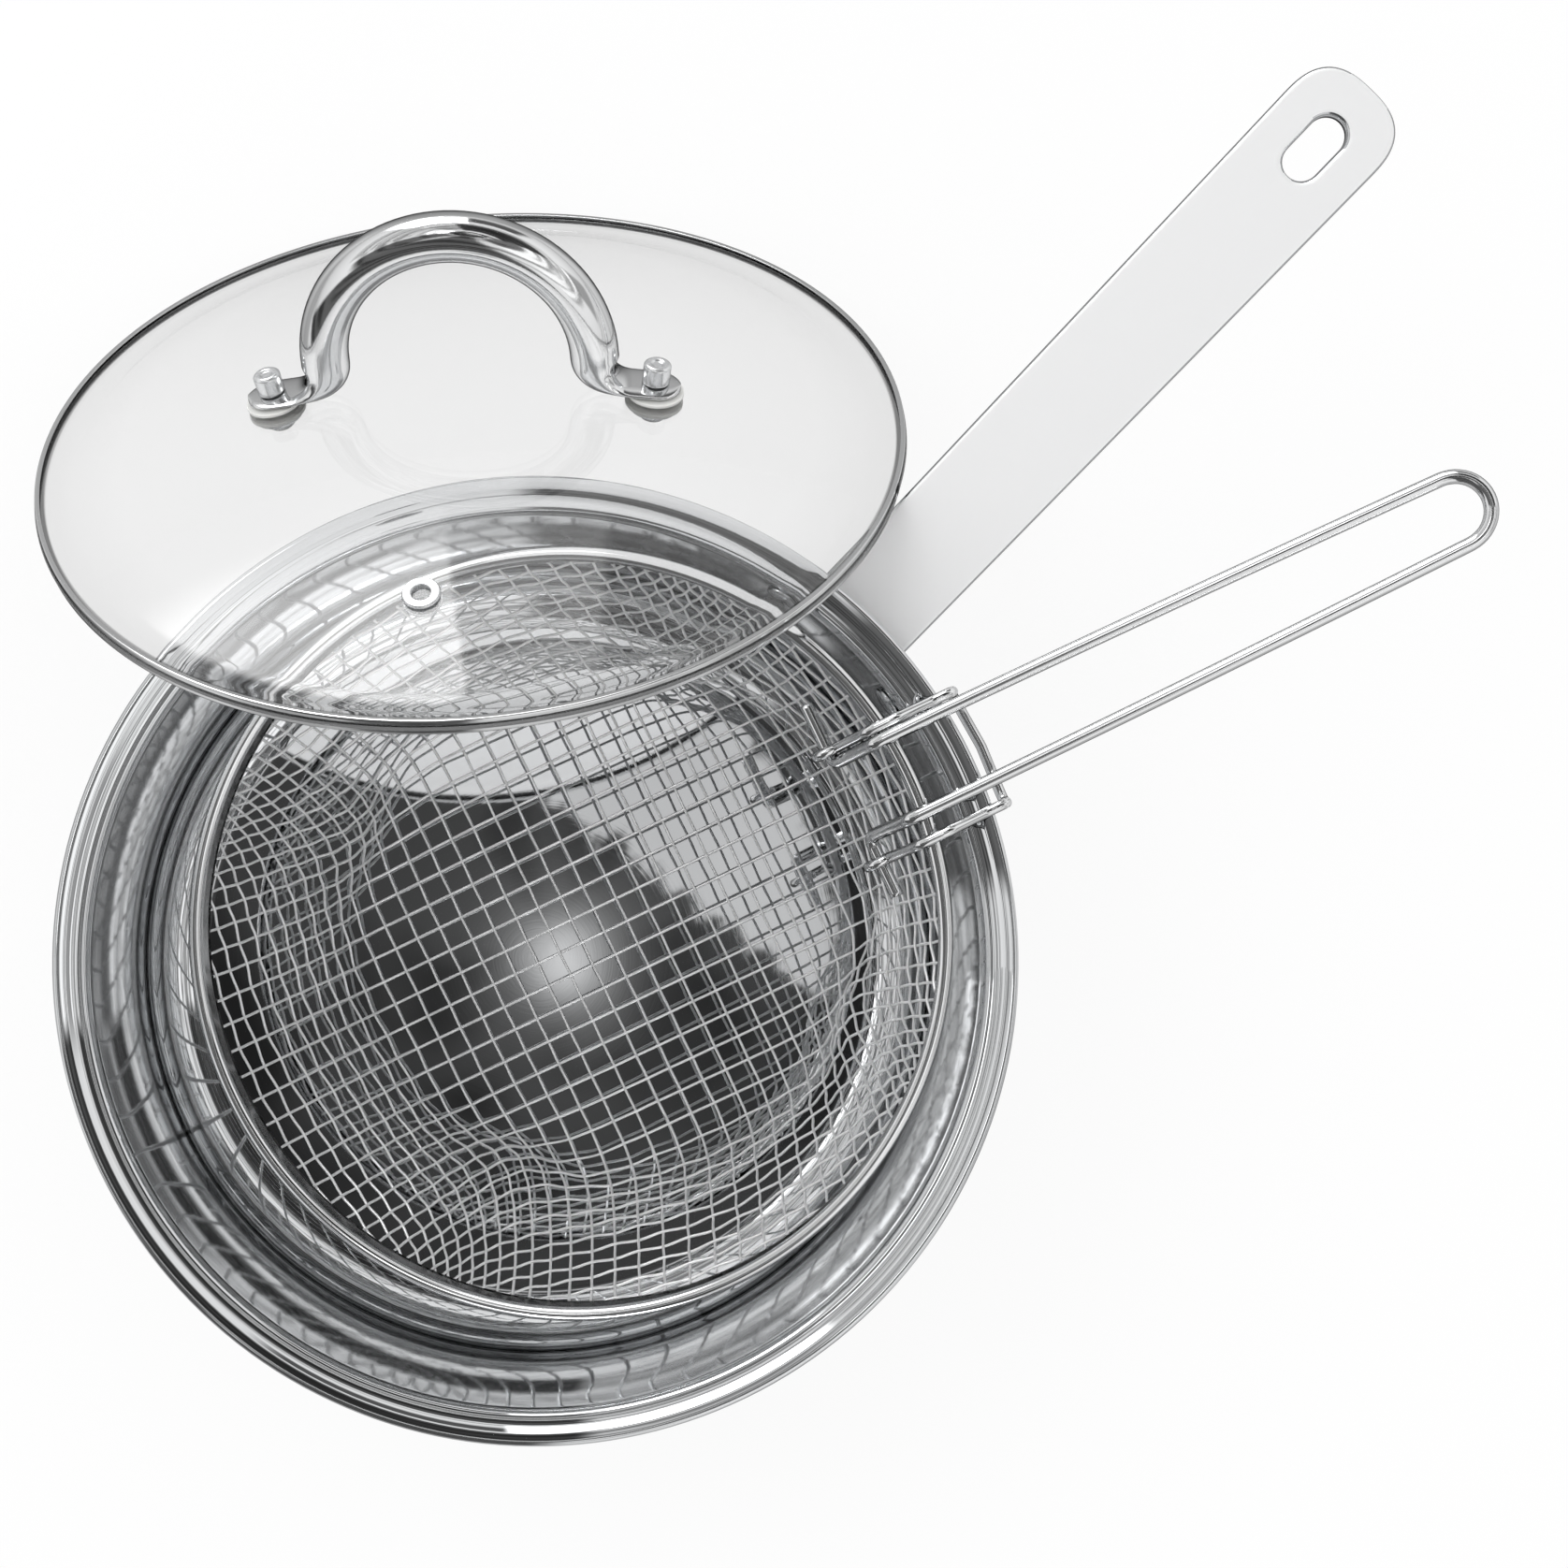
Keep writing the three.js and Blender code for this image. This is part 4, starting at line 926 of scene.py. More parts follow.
@dataclass
class Strap:
    """The pan's pressed strap handle, open below, with a rolled slot to hang it by.

    Attributes:
        root: How far its root lies from the pan's axis.
        end_power: The power of the superellipse that its round end is.
        drop: How far its root's upper face lies under the rim.
        slot_support: How far out from the slot's rolled edge the next rings lie, above and below.
        collar: How far the slot's rolled edge runs straight down, under its curve.
    """

    root: float
    rim_height: float
    tip_reach: float = 305.1
    root_width: float = 28.2
    tip_width: float = 30.8
    aside: float = 0.8
    end_length: float = 15.0
    end_power: float = 2.7
    sheet: float = 1.5
    skirt: float = 6.0
    edge_round: float = 1.4
    rise_degrees: float = 10.5
    drop: float = 13.5
    hole_reach: float = 285.6
    hole_length: float = 18.2
    hole_width: float = 9.7
    hole_roll: float = 1.6
    lower_edge: float = 0.3
    edge_support: float = 0.25
    slot_support: tuple[float, float] = (0.3, 0.5)
    collar: float = 1.6
    collar_sheet: float = 0.7
    root_points: int = 13

    @property
    def length(self) -> float:
        """The strap's length along its slope."""
        return (self.tip_reach - self.root) / math.cos(math.radians(self.rise_degrees))

    def frame(self) -> tuple[Points, Points]:
        """The strap's own frame in the pan's, as a rotation and an origin at its root."""
        rise = math.radians(self.rise_degrees)
        along = np.array([math.cos(rise), 0.0, math.sin(rise)])
        across = np.array([0.0, 1.0, 0.0])
        turn = np.column_stack([along, across, np.cross(along, across)])
        return turn, np.array([self.root, self.aside, self.rim_height - self.drop])

    def outline(self) -> tuple[Points, NDArray[np.bool_]]:
        """The strap seen from above, and which of its points carry the turned-down skirt.

        The end is a superellipse: its reach and its half width go with the cosine and the sine to
        the power of two over the end's power. The root's two corners are given twice, once with the
        skirt and once without.
        """
        start = self.length - self.end_length
        angle = np.linspace(-QUARTER_TURN, QUARTER_TURN, 61)
        power = 2.0 / self.end_power
        end = np.column_stack(
            [
                start + self.end_length * np.abs(np.cos(angle)) ** power,
                self.tip_width / 2.0 * np.sign(np.sin(angle)) * np.abs(np.sin(angle)) ** power,
            ]
        )
        share = np.linspace(0.0, 1.0, 60)[:-1, None]
        low = np.array([0.0, -self.root_width / 2.0]) * (1 - share) + end[0] * share
        high = (low * np.array([1.0, -1.0]))[::-1]
        count = self.root_points
        root = np.linspace((0.0, self.root_width), (0.0, -self.root_width), count) / 2.0
        points = np.concatenate([low, end, high, root])
        skirted = np.arange(len(points)) < len(points) - count
        return points, skirted

    def skin(self) -> Skin:
        """The strap as rings: up the skirt, over the rounded edge, in to the slot, through it and back."""
        outline, skirted = self.outline()
        centre = np.array([(self.hole_reach - self.root) / math.cos(math.radians(self.rise_degrees)), 0.0])
        inward = self.inward(outline)
        slot, slot_out = self.slot(outline - centre)
        slot = slot + centre
        depth = np.where(skirted, self.skirt, self.sheet)
        rings = [self.ring(outline + self.sheet * inward, -depth)]
        rings.append(self.ring(outline + self.lower_edge * inward, -depth))
        rings.append(self.ring(outline, self.lower_edge - depth))
        turn = np.linspace(0.0, QUARTER_TURN, 8)
        for a in turn:
            inset = self.edge_round * (1 - math.cos(a))
            rings.append(self.ring(outline + inset * inward, self.edge_round * (math.sin(a) - 1)))
        top = outline + self.edge_round * inward
        rings.append(self.ring(outline + (self.edge_round + self.edge_support) * inward, 0.0))
        above, below = self.slot_support
        dip = slot + (self.hole_roll + above) * slot_out
        rings.extend(self.ring(top * (1 - s) + dip * s, 0.0) for s in np.linspace(0.04, 1.0, 26))
        for a in turn:
            outset = self.hole_roll * (1 - math.sin(a))
            rings.append(self.ring(slot + outset * slot_out, self.hole_roll * (math.cos(a) - 1)))
        collar_end = -self.hole_roll - self.collar
        rings.append(self.ring(slot, collar_end))
        rings.append(self.ring(slot + self.collar_sheet * slot_out, collar_end))
        far = slot + (self.hole_roll + below) * slot_out
        rings.append(self.ring(far, -self.sheet))
        under = outline + self.sheet * inward
        rings.extend(self.ring(far * (1 - s) + under * s, -self.sheet) for s in np.linspace(0.05, 0.98, 14))
        skin = grid_skin(np.stack(rings), wrap_rows=True, wrap_columns=True)
        turn_matrix, origin = self.frame()
        return skin.placed(turn_matrix, origin)

    @staticmethod
    def ring(plan: Points, height: Points | float) -> Points:
        """Lays a ring of plan points at a height."""
        return np.column_stack([plan, np.broadcast_to(height, len(plan))])

    def inward(self, outline: Points) -> Points:
        """The direction into the strap at each point of its outline, square to it.

        On the root's edge the rings only run along the strap, so that its ends stay square.
        """
        along = np.roll(outline, -1, axis=0) - np.roll(outline, 1, axis=0)
        along = unit(along + np.array([1e-9, 0.0]))
        square = np.column_stack([-along[:, 1], along[:, 0]])
        sides = np.column_stack([np.zeros(len(outline)), -np.sign(outline[:, 1])])
        at_root = outline[:, 0] < 1e-6
        edge = np.abs(np.abs(outline[:, 1]) - self.root_width / 2.0) < 1e-6
        square[at_root] = 0.0
        square[at_root & edge] = sides[at_root & edge]
        near = np.abs(outline[:, 1]) > self.root_width / 2.0 - self.sheet
        square[at_root & near & ~edge] = 0.0
        return square

    def slot(self, rays: Points) -> tuple[Points, Points]:
        """The slot's points on rays from its middle, with the direction out of it at each.

        Each ray meets either one of the slot's straights or one of its round ends.
        """
        radius = self.hole_width / 2.0
        half = (self.hole_length - self.hole_width) / 2.0
        ray = unit(rays)
        to_straight = radius / np.maximum(np.abs(ray[:, 1]), 1e-9)
        on_straight = np.abs(ray[:, 0]) * to_straight <= half
        along = np.abs(ray[:, 0]) * half
        to_end = along + np.sqrt(along**2 - half**2 + radius**2)
        points = ray * np.where(on_straight, to_straight, to_end)[:, None]
        middle = np.column_stack([np.clip(points[:, 0], -half, half), np.zeros(len(points))])
        return points, unit(points - middle)


# The lid


LID_STEEL = SteelFinish("lid_band_steel", (0.86, 0.865, 0.87), 0.08, 0.03, Grain.DRAWN, edge=0.05)
ARCH_STEEL = SteelFinish("arch_handle_steel", (0.88, 0.885, 0.89), 0.08, 0.03, Grain.DRAWN, edge=0.05)
NUT_STEEL = SteelFinish("cap_nut_steel", (0.84, 0.85, 0.86), 0.20, 0.04, Grain.DRAWN, metal=0.75)
WASHER_STEEL = SteelFinish("washer_steel", (0.80, 0.81, 0.82), 0.26, 0.05, Grain.DRAWN, metal=0.7)
SEAL_RUBBER = RubberFinish()


@dataclass
class Lid(Assembly):
    """The lid: a glass dome in a steel band, its arch handle with fastenings, and the steam vent.

    Attributes:
        flange: The width of the glass's flat margin.
        sweep: How far the curve between dome and margin reaches to each side of their meeting.
        foot_spread: How far the arch handle's screws lie from the lid's middle.
        lug_run: How far each lug runs on, inwards from its screw, before it bends up.
        lug_pull: How far the bend's first pull point lies inwards from the lug's end.
        leg_pull: How far its second pull point lies under the arch's start.
    """

    body: str = "lid"
    radius: float = 118.0
    glass: float = 3.0
    dome_rise: float = 18.0
    flange: float = 7.0
    sweep: float = 3.0
    margin_support: float = 1.0
    ground_edge: float = 0.4
    band_sheet: float = 0.4
    band_reach: float = 1.4
    foot_spread: float = 51.0
    spin_degrees: float = -7.9
    arch_radius: float = 35.9
    tube_radius: float = 6.5
    leg: float = 10.0
    lug_radius: float = 6.8
    lug_sheet: float = 2.0
    lug_run: float = 6.0
    lug_pull: float = 5.2
    leg_pull: float = 5.5
    swell_rate: float = 1.08
    gasket_radius: float = 7.8
    gasket_sheet: float = 1.0
    gasket_edge: float = 0.35
    washer_radius: float = 6.5
    washer_sheet: float = 1.0
    washer_edge: float = 0.2
    screw_radius: float = 2.2
    screw_head_radius: float = 4.4
    screw_head_height: float = 2.6
    screw_end: float = 0.4
    nut_radius: float = 3.7
    nut_height: float = 5.6
    nut_dish: float = 0.5
    recess_radius: float = 1.3
    vent_aside: float = 15.0
    vent_reach: float = 77.0
    vent_bore: float = 2.4
    vent_tube: float = 3.1
    vent_flange: float = 5.0
    vent_sheet: float = 0.8
    gap: float = 0.3

    def settle(self, joints: list[dict]) -> None:
        """Finds the lid's frame: its axis is the lift's direction, and its middle that of its band.

        The X axis is level, and square to the axis.

        Args:
            joints: The frame's joints.
        """
        lift = next(joint for joint in joints if joint["child"] == self.body)
        axis = unit(np.array(lift["axis"], dtype=float))
        level = unit(np.cross(np.array([0.0, 0.0, 1.0]), axis))
        low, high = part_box("lid_rim_band")
        self.turn = np.column_stack([level, np.cross(axis, level), axis])
        self.origin = np.array(low + high) / 2.0 / MILLIMETRE

    @property
    def glass_radius(self) -> float:
        """The glass's edge, inside the band."""
        return self.radius - self.band_sheet - self.gap

    @property
    def dome_base(self) -> float:
        """Where the dome meets its flat margin."""
        return self.glass_radius - self.flange

    @property
    def ball(self) -> float:
        """The radius of the sphere that the glass's middle surface is part of."""
        rise = self.dome_rise - self.glass / 2.0
        return (self.dome_base**2 + rise**2) / (2.0 * rise)

    def dome_height(self, reach: Points | float) -> Points | float:
        """The middle surface's height at a distance from the lid's axis, inside its margin."""
        rise = self.dome_rise - self.glass / 2.0
        return rise - self.ball + np.sqrt(self.ball**2 - np.square(reach))

    def build(self) -> None:
        """Makes every piece of the lid."""
        middle = tuple(float(value) * MILLIMETRE for value in self.origin)
        self.add(self.glass_dome(), "glass_dome", GlassFinish(centre=middle), "lid_glass", "lid_glass")
        self.add(self.band(), "lid_band", LID_STEEL, "polished_steel", "lid_rim_band")
        self.add(self.arch_handle(), "arch_handle", ARCH_STEEL, "polished_steel", "lid_handle")
        face = self.glass / 2.0 + self.gap
        foot = face + self.gasket_sheet + self.gap
        nut = foot + self.lug_sheet + self.gap
        under = -face - self.gasket_radius**2 / self.ball
        washer = under - self.gasket_sheet - self.gap
        head = washer - self.washer_sheet - self.gap
        bore = self.screw_radius + self.gap
        edge = self.gasket_edge
        outer = self.ring(bore, self.gasket_radius, face, face + self.gasket_sheet, edge)
        inner = self.ring(bore, self.gasket_radius, under - self.gasket_sheet, under, edge)
        plate = self.ring(bore, self.washer_radius, washer - self.washer_sheet, washer, self.washer_edge)
        for side, word in SIDES:
            self.add_at_foot(self.cap_nut(nut), side, f"cap_nut_{word}", NUT_STEEL, "polished_steel")
            self.add_at_foot(outer, side, f"outer_gasket_{word}", SEAL_RUBBER, "seal_rubber")
            self.add_at_foot(inner, side, f"inner_gasket_{word}", SEAL_RUBBER, "seal_rubber")
            self.add_at_foot(plate, side, f"washer_{word}", WASHER_STEEL, "satin_steel")
            self.add_at_foot(self.screw(head, nut), side, f"screw_{word}", WASHER_STEEL, "satin_steel")
        eyelet = self.at_vent(self.eyelet(face))
        self.add(eyelet, "vent_tube", WASHER_STEEL, "polished_steel", "vent_eyelet")
        tube = self.vent_tube + self.gap
        clip = self.ring(tube, self.vent_flange, -face - self.vent_sheet, -face, self.washer_edge)
        self.add(self.at_vent(clip), "vent_clip", WASHER_STEEL, "satin_steel", "vent_ring")

    def add_at_foot(self, skin: Skin, side: float, name: str, finish: Finish, slot: str) -> None:
        """Makes a piece that is turned about a screw's axis, which stands square on the glass."""
        self.add(self.at_foot(skin, side), name, finish, slot, f"lid_{name}")

    def on_dome(self, skin: Skin, aside: float, ahead: float) -> Skin:
        """Stands a surface square on the glass's middle surface at a place of the lid's plane."""
        reach = math.hypot(aside, ahead)
        out = np.array([aside, ahead, 0.0]) / reach
        slope = math.asin(reach / self.ball)
        normal = math.sin(slope) * out + np.array([0.0, 0.0, math.cos(slope)])
        across = np.array([-out[1], out[0], 0.0])
        turn = np.column_stack([np.cross(across, normal), across, normal])
        return skin.placed(turn, np.array([aside, ahead, float(self.dome_height(reach))]))

    def at_foot(self, skin: Skin, side: float) -> Skin:
        """Stands a surface on one of the handle's screws."""
        spin = math.radians(self.spin_degrees)
        reach = side * self.foot_spread
        return self.on_dome(skin, reach * math.cos(spin), reach * math.sin(spin))

    def at_vent(self, skin: Skin) -> Skin:
        """Stands a surface on the steam vent's axis."""
        return self.on_dome(skin, self.vent_aside, self.vent_reach)

    def ring(self, inner: float, outer: float, low: float, high: float, edge: float) -> Skin:
        """A flat ring with softened edges, between two radii and two heights."""
        corners = np.array([[inner, low], [outer, low], [outer, high], [inner, high]])
        return revolved(rounded(corners, edge), 64)

    def glass_dome(self) -> Skin:
        """The pane: a spherical dome that runs out into a flat margin with a ground edge."""
        reach = np.linspace(0.0, self.dome_base - self.sweep, 60)
        dome = np.column_stack([reach, self.dome_height(reach)])
        share = np.linspace(0.0, 1.0, 10)[1:, None]
        start = dome[-1]
        corner = np.array([self.dome_base, 0.0])
        end = np.array([self.dome_base + self.sweep, 0.0])
        sweep = quadratic(start, corner, end, share)
        edge = self.glass_radius - self.ground_edge
        margin = np.linspace((end[0] + self.margin_support, 0.0), (edge, 0.0), 4)
        line = np.concatenate([dome, sweep, margin])
        return revolved(pressed(line, self.glass), 200, closed=False)

    def band(self) -> Skin:
        """The rolled steel band: a channel that grips the glass's margin."""
        half = self.glass / 2.0 + self.gap + self.band_sheet
        inner = half - self.band_sheet
        wall = self.radius - self.band_sheet
        tip = self.radius - self.band_reach
        rows = [
            (tip, half, 0.1),
            (self.radius, half, 0.45),
            (self.radius, -half, 0.45),
            (tip, -half, 0.1),
            (tip, -inner, 0.1),
            (wall, -inner, 0.05),
            (wall, inner, 0.05),
            (tip, inner, 0.1),
        ]
        return turned_part(rows, 220)

    def arch_handle(self) -> Skin:
        """The handle: a round tube bent to an arch, its legs pressed flat into lugs.

        From each lug's tip the centre line runs level over the glass, curves up into the leg, and
        over the arch. The oval carried along it is flat at the lugs and round from the legs on.
        """
        foot = self.glass / 2.0 + 2.0 * self.gap + self.gasket_sheet + self.lug_sheet / 2.0
        slope = math.asin(self.foot_spread / self.ball)
        screw = np.array([self.foot_spread, float(self.dome_height(self.foot_spread))])
        normal = np.array([math.sin(slope), math.cos(slope)])
        outward = np.array([math.cos(slope), -math.sin(slope)])
        middle = screw + foot * normal
        tip_turn = np.linspace(0.0, QUARTER_TURN, 12)[1:-1]
        tip_reach = self.lug_radius * np.cos(tip_turn)
        run = np.linspace(0.0, -self.lug_run, 6)
        lug = middle + np.concatenate([tip_reach, run])[:, None] * outward
        lug_width = np.concatenate([self.lug_radius * np.sin(tip_turn), np.full(len(run), self.lug_radius)])
        rise = float(self.dome_height(self.foot_spread)) + foot + self.leg
        share = np.linspace(0.0, 1.0, 22)[1:-1, None]
        start = lug[-1]
        top = np.array([self.arch_radius, rise])
        pull_low = start - self.lug_pull * outward
        pull_high = top - np.array([0.0, self.leg_pull])
        curve = (
            (1 - share) ** 3 * start
            + 3 * share * (1 - share) ** 2 * pull_low
            + 3 * share**2 * (1 - share) * pull_high
            + share**3 * top
        )
        swell = smooth_step(share[:, 0] * self.swell_rate)
        curve_width = self.lug_radius + (self.tube_radius - self.lug_radius) * swell
        curve_height = self.lug_sheet / 2.0 + (self.tube_radius - self.lug_sheet / 2.0) * swell
        over = np.linspace(0.0, QUARTER_TURN, 26)
        arch = np.column_stack([self.arch_radius * np.cos(over), rise + self.arch_radius * np.sin(over)])
        half_line = np.concatenate([lug, curve, arch])
        tube = np.full(len(arch), self.tube_radius)
        half_width = np.concatenate([lug_width, curve_width, tube])
        lug_height = np.full(len(lug), self.lug_sheet / 2.0)
        half_height = np.concatenate([lug_height, curve_height, tube])
        line = np.concatenate([half_line, (half_line * np.array([-1.0, 1.0]))[::-1][1:]])
        width = np.concatenate([half_width, half_width[::-1][1:]])
        height = np.concatenate([half_height, half_height[::-1][1:]])
        path = np.column_stack([line[:, 0], np.zeros(len(line)), line[:, 1]])
        tangent = unit(np.gradient(path, axis=0))
        square = np.cross(tangent, np.array([0.0, 1.0, 0.0]))
        skin = swept(path, square, width, height, sides=40)
        return skin.placed(about_z(math.radians(self.spin_degrees)), np.zeros(3))

    def cap_nut(self, low: float) -> Skin:
        """A round cap nut with a dished top."""
        top = low + self.nut_height
        thread = self.screw_radius
        dish = self.recess_radius
        rows = [
            (0.0, low + self.nut_dish, 0.0),
            (thread, low + self.nut_dish, 0.1),
            (thread + 0.2, low, 0.1),
            (self.nut_radius, low, 0.3),
            (self.nut_radius, top - 0.6, 0.4),
            (self.nut_radius - 0.7, top, 0.4),
            (dish + 0.6, top, 0.3),
            (dish, top - self.nut_dish, 0.3),
            (0.0, top - self.nut_dish, 0.0),
        ]
        return turned_part(rows, 48, closed=False)

    def screw(self, head: float, nut: float) -> Skin:
        """The screw from under the glass: a pan head with a round recess, and its shank."""
        low = head - self.screw_head_height
        tip = nut + self.screw_end
        recess = self.recess_radius
        rows = [
            (0.0, low + 0.9, 0.0),
            (recess, low + 0.9, 0.2),
            (recess + 0.3, low, 0.2),
            (self.screw_head_radius - 1.2, low, 0.7),
            (self.screw_head_radius, head - 1.0, 0.7),
            (self.screw_head_radius, head, 0.15),
            (self.screw_radius, head, 0.15),
            (self.screw_radius, tip, 0.2),
            (0.0, tip, 0.0),
        ]
        return turned_part(rows, 48, closed=False)

    def eyelet(self, face: float) -> Skin:
        """The vent's eyelet: a flange with a rolled edge on the glass and a tube through it."""
        low = -face - self.vent_sheet - self.gap - self.vent_sheet
        top = face + self.vent_sheet
        rows = [
            (self.vent_bore, low, 0.2),
            (self.vent_tube, low, 0.2),
            (self.vent_tube, face, 0.1),
            (self.vent_flange, face, 0.2),
            (self.vent_flange - 0.3, top, 0.5),
            (self.vent_bore, top, 0.5),
        ]
        return turned_part(rows, 56)


# The basket


WEAVE_STEEL = SteelFinish(
    "woven_wire_steel", (0.97, 0.972, 0.975), 0.32, 0.05, Grain.DRAWN, edge=0.95, metal=0.5
)
BAND_STEEL = SteelFinish("basket_band_steel", (0.90, 0.905, 0.91), 0.07, 0.03, Grain.DRAWN, edge=0.05)
ROD_STEEL = SteelFinish("bright_rod_steel", (0.90, 0.905, 0.91), 0.07, 0.02, Grain.DRAWN, edge=0.0)


@dataclass
class Basket(Assembly):
    """The basket: woven wire in a folded steel band, the hanger, and the fold-in handle.

    Attributes:
        band_top: How far the band's upper edge lies over the frame's origin.
        gather_most: The most surplus wire that the cloth takes in.
        pleat_degrees: The half width of a pleat round the basket.
        pleat_place: How far past the flat floor a pleat is deepest, along the cloth.
        pleat_reach: Its half width along the cloth.
        pleat_lift: How far it lifts the wall, as a share of how far it pushes.
        ripple_fades: How far past the floor the ripple is full; where it ends, in from the cloth's
            edge; and over what length it ends.
        collar_share: How much of the band's height the cloth fills.
        rod_up: A direction near the hanger's upper side, in the basket's plane of symmetry.
        grip_up: The same for the handle.
    """

    body: str = "basket"
    radius: float = 102.5
    flat_radius: float = 64.0
    corner_radius: float = 15.0
    depth: float = 86.3
    tilt_degrees: float = 11.0
    turn_degrees: float = -20.6
    forward: float = 8.4
    aside: float = 2.7
    drop: float = 15.5
    band_sheet: float = 0.6
    band_height: float = 9.0
    band_top: float = 1.5
    mesh_gap: float = 0.5
    mesh_sheet: float = 1.6
    pitch: float = 7.5
    wire_radius: float = 0.40
    crimp: float = 0.34
    gather_most: float = 0.8
    pleat_depth: float = 6.0
    pleat_degrees: float = 13.0
    pleat_place: float = 30.0
    pleat_reach: float = 22.0
    pleat_lift: float = 0.35
    ripple: float = 0.3
    ripples: float = 11.0
    ripple_fades: tuple[float, float, float] = (20.0, 14.0, 12.0)
    collar_share: float = 0.8
    hook_wire: float = 1.4
    hook_spread: float = 16.0
    hook_aside: float = -1.8
    hook_reach: float = 2.4
    hook_lip: float = 6.0
    hook_rise: float = 2.8
    handle_wire: float = 1.8
    handle_spread: float = 10.7
    handle_mid_spread: float = 10.3
    handle_mid_reach: float = 175.0
    handle_tip_spread: float = 8.7
    handle_tip_reach: float = 258.2
    handle_tip_rise: float = 9.0
    handle_rise: float = 5.4
    handle_sweep: float = 60.0
    pin_inset: float = 18.6
    pin_drop: float = 11.7
    pin_end: float = 28.0
    pivot_gap: float = 0.4
    bend: float = 3.0
    gap: float = 0.3
    rod_up: tuple[float, float, float] = (-0.5, 0.0, 0.866)
    grip_up: tuple[float, float, float] = (-0.77, 0.0, 0.64)
    pan_height: float = 120.0
    pan_rim_radius: float = 125.0
    pan_rim_roll: float = 1.3
    handle_body: str = "basket_handle"

    def settle(self) -> None:
        """Places the basket's frame in the pan's: turned about Z, then its handle side tilted up."""
        spin = about_z(math.radians(self.turn_degrees))
        tilt = math.radians(self.tilt_degrees)
        about_y = np.array(
            [[math.cos(tilt), 0.0, -math.sin(tilt)], [0.0, 1.0, 0.0], [math.sin(tilt), 0.0, math.cos(tilt)]]
        )
        self.turn = spin @ about_y
        self.origin = spin @ np.array([self.forward, self.aside, self.pan_height - self.drop])

    def from_pan(self, along: float, across: float, over: float) -> Points:
        """Carries a place that is given from the pan into the basket's frame.

        Args:
            along: How far it lies from the pan's axis, along the basket's direction.
            across: How far to the left of that direction.
            over: How far over the pan's rim.

        Returns:
            The place in the basket's frame.
        """
        tilt = math.radians(self.tilt_degrees)
        ahead = along - self.forward
        lift = over + self.drop
        return np.array(
            [
                ahead * math.cos(tilt) + lift * math.sin(tilt),
                across - self.aside,
                lift * math.cos(tilt) - ahead * math.sin(tilt),
            ]
        )

    def build(self) -> None:
        """Makes every piece of the basket."""
        self.add(self.weave(), "woven_basket", WEAVE_STEEL, "wire_steel", "basket_mesh")
        self.add(self.band(), "basket_band", BAND_STEEL, "polished_steel", "basket_rim_band")
        self.add(self.hanger(), "hanger", ROD_STEEL, "wire_steel", "basket_hanger")
        grip = self.handle()
        self.add(grip, "wire_handle", ROD_STEEL, "wire_steel", "basket_handle", body=self.handle_body)

    @property
    def collar_radius(self) -> float:
        """The middle of the mesh inside the folded band."""
        return self.radius - self.band_sheet - self.mesh_gap - self.mesh_sheet / 2.0

    def wall_line(self) -> tuple[Points, Points, float]:
        """How the slanting wall runs on from the corner's arc, as (radius, height) pairs.

        Returns:
            The arc's centre, the wall's top, and the angle from level at which the arc ends.
        """
        centre = np.array([self.flat_radius, self.corner_radius - self.depth])
        top = np.array([self.collar_radius, self.band_top - self.band_height - self.mesh_sheet])
        span = math.dist(top, centre)
        lean = math.atan2(top[1] - centre[1], top[0] - centre[0]) - math.acos(self.corner_radius / span)
        return centre, top, lean

    def profile_at(self, distance: Points) -> tuple[Points, Points]:
        """The mesh's profile: floor, corner arc, slanting wall, and a stretch up inside the band.

        Args:
            distance: Distances along the profile from the middle of the floor.

        Returns:
            The (radius, height) pairs there, and the unit normals towards the inside.
        """
        centre, top, lean = self.wall_line()
        out = np.array([math.cos(lean), math.sin(lean)])
        touch = centre + self.corner_radius * out
        corner_end = self.flat_radius + self.corner_radius * (lean + QUARTER_TURN)
        wall_end = corner_end + math.dist(top, touch)
        bent = np.clip((distance - self.flat_radius) / self.corner_radius, 0.0, lean + QUARTER_TURN)
        angle = bent - QUARTER_TURN
        turned = np.column_stack([np.cos(angle), np.sin(angle)])
        on_corner = centre + self.corner_radius * turned
        share = np.clip((distance - corner_end) / (wall_end - corner_end), 0.0, 1.0)[:, None]
        on_wall = touch * (1 - share) + top * share
        floor = np.column_stack([distance, np.full(len(distance), -self.depth)])
        collar = top + np.column_stack([np.zeros(len(distance)), distance - wall_end])
        place = np.where((distance > corner_end)[:, None], on_wall, on_corner)
        place = np.where((distance < self.flat_radius)[:, None], floor, place)
        place = np.where((distance > wall_end)[:, None], collar, place)
        normal = -np.where((distance > wall_end)[:, None], np.array([1.0, 0.0]), turned)
        return place, normal

    @property
    def cloth_radius(self) -> float:
        """The radius of the flat round of wire cloth that the basket is drawn from."""
        centre, top, lean = self.wall_line()
        wall = math.sqrt(math.dist(top, centre) ** 2 - self.corner_radius**2)
        corner = self.corner_radius * (lean + QUARTER_TURN)
        return self.flat_radius + corner + wall + self.band_height * self.collar_share

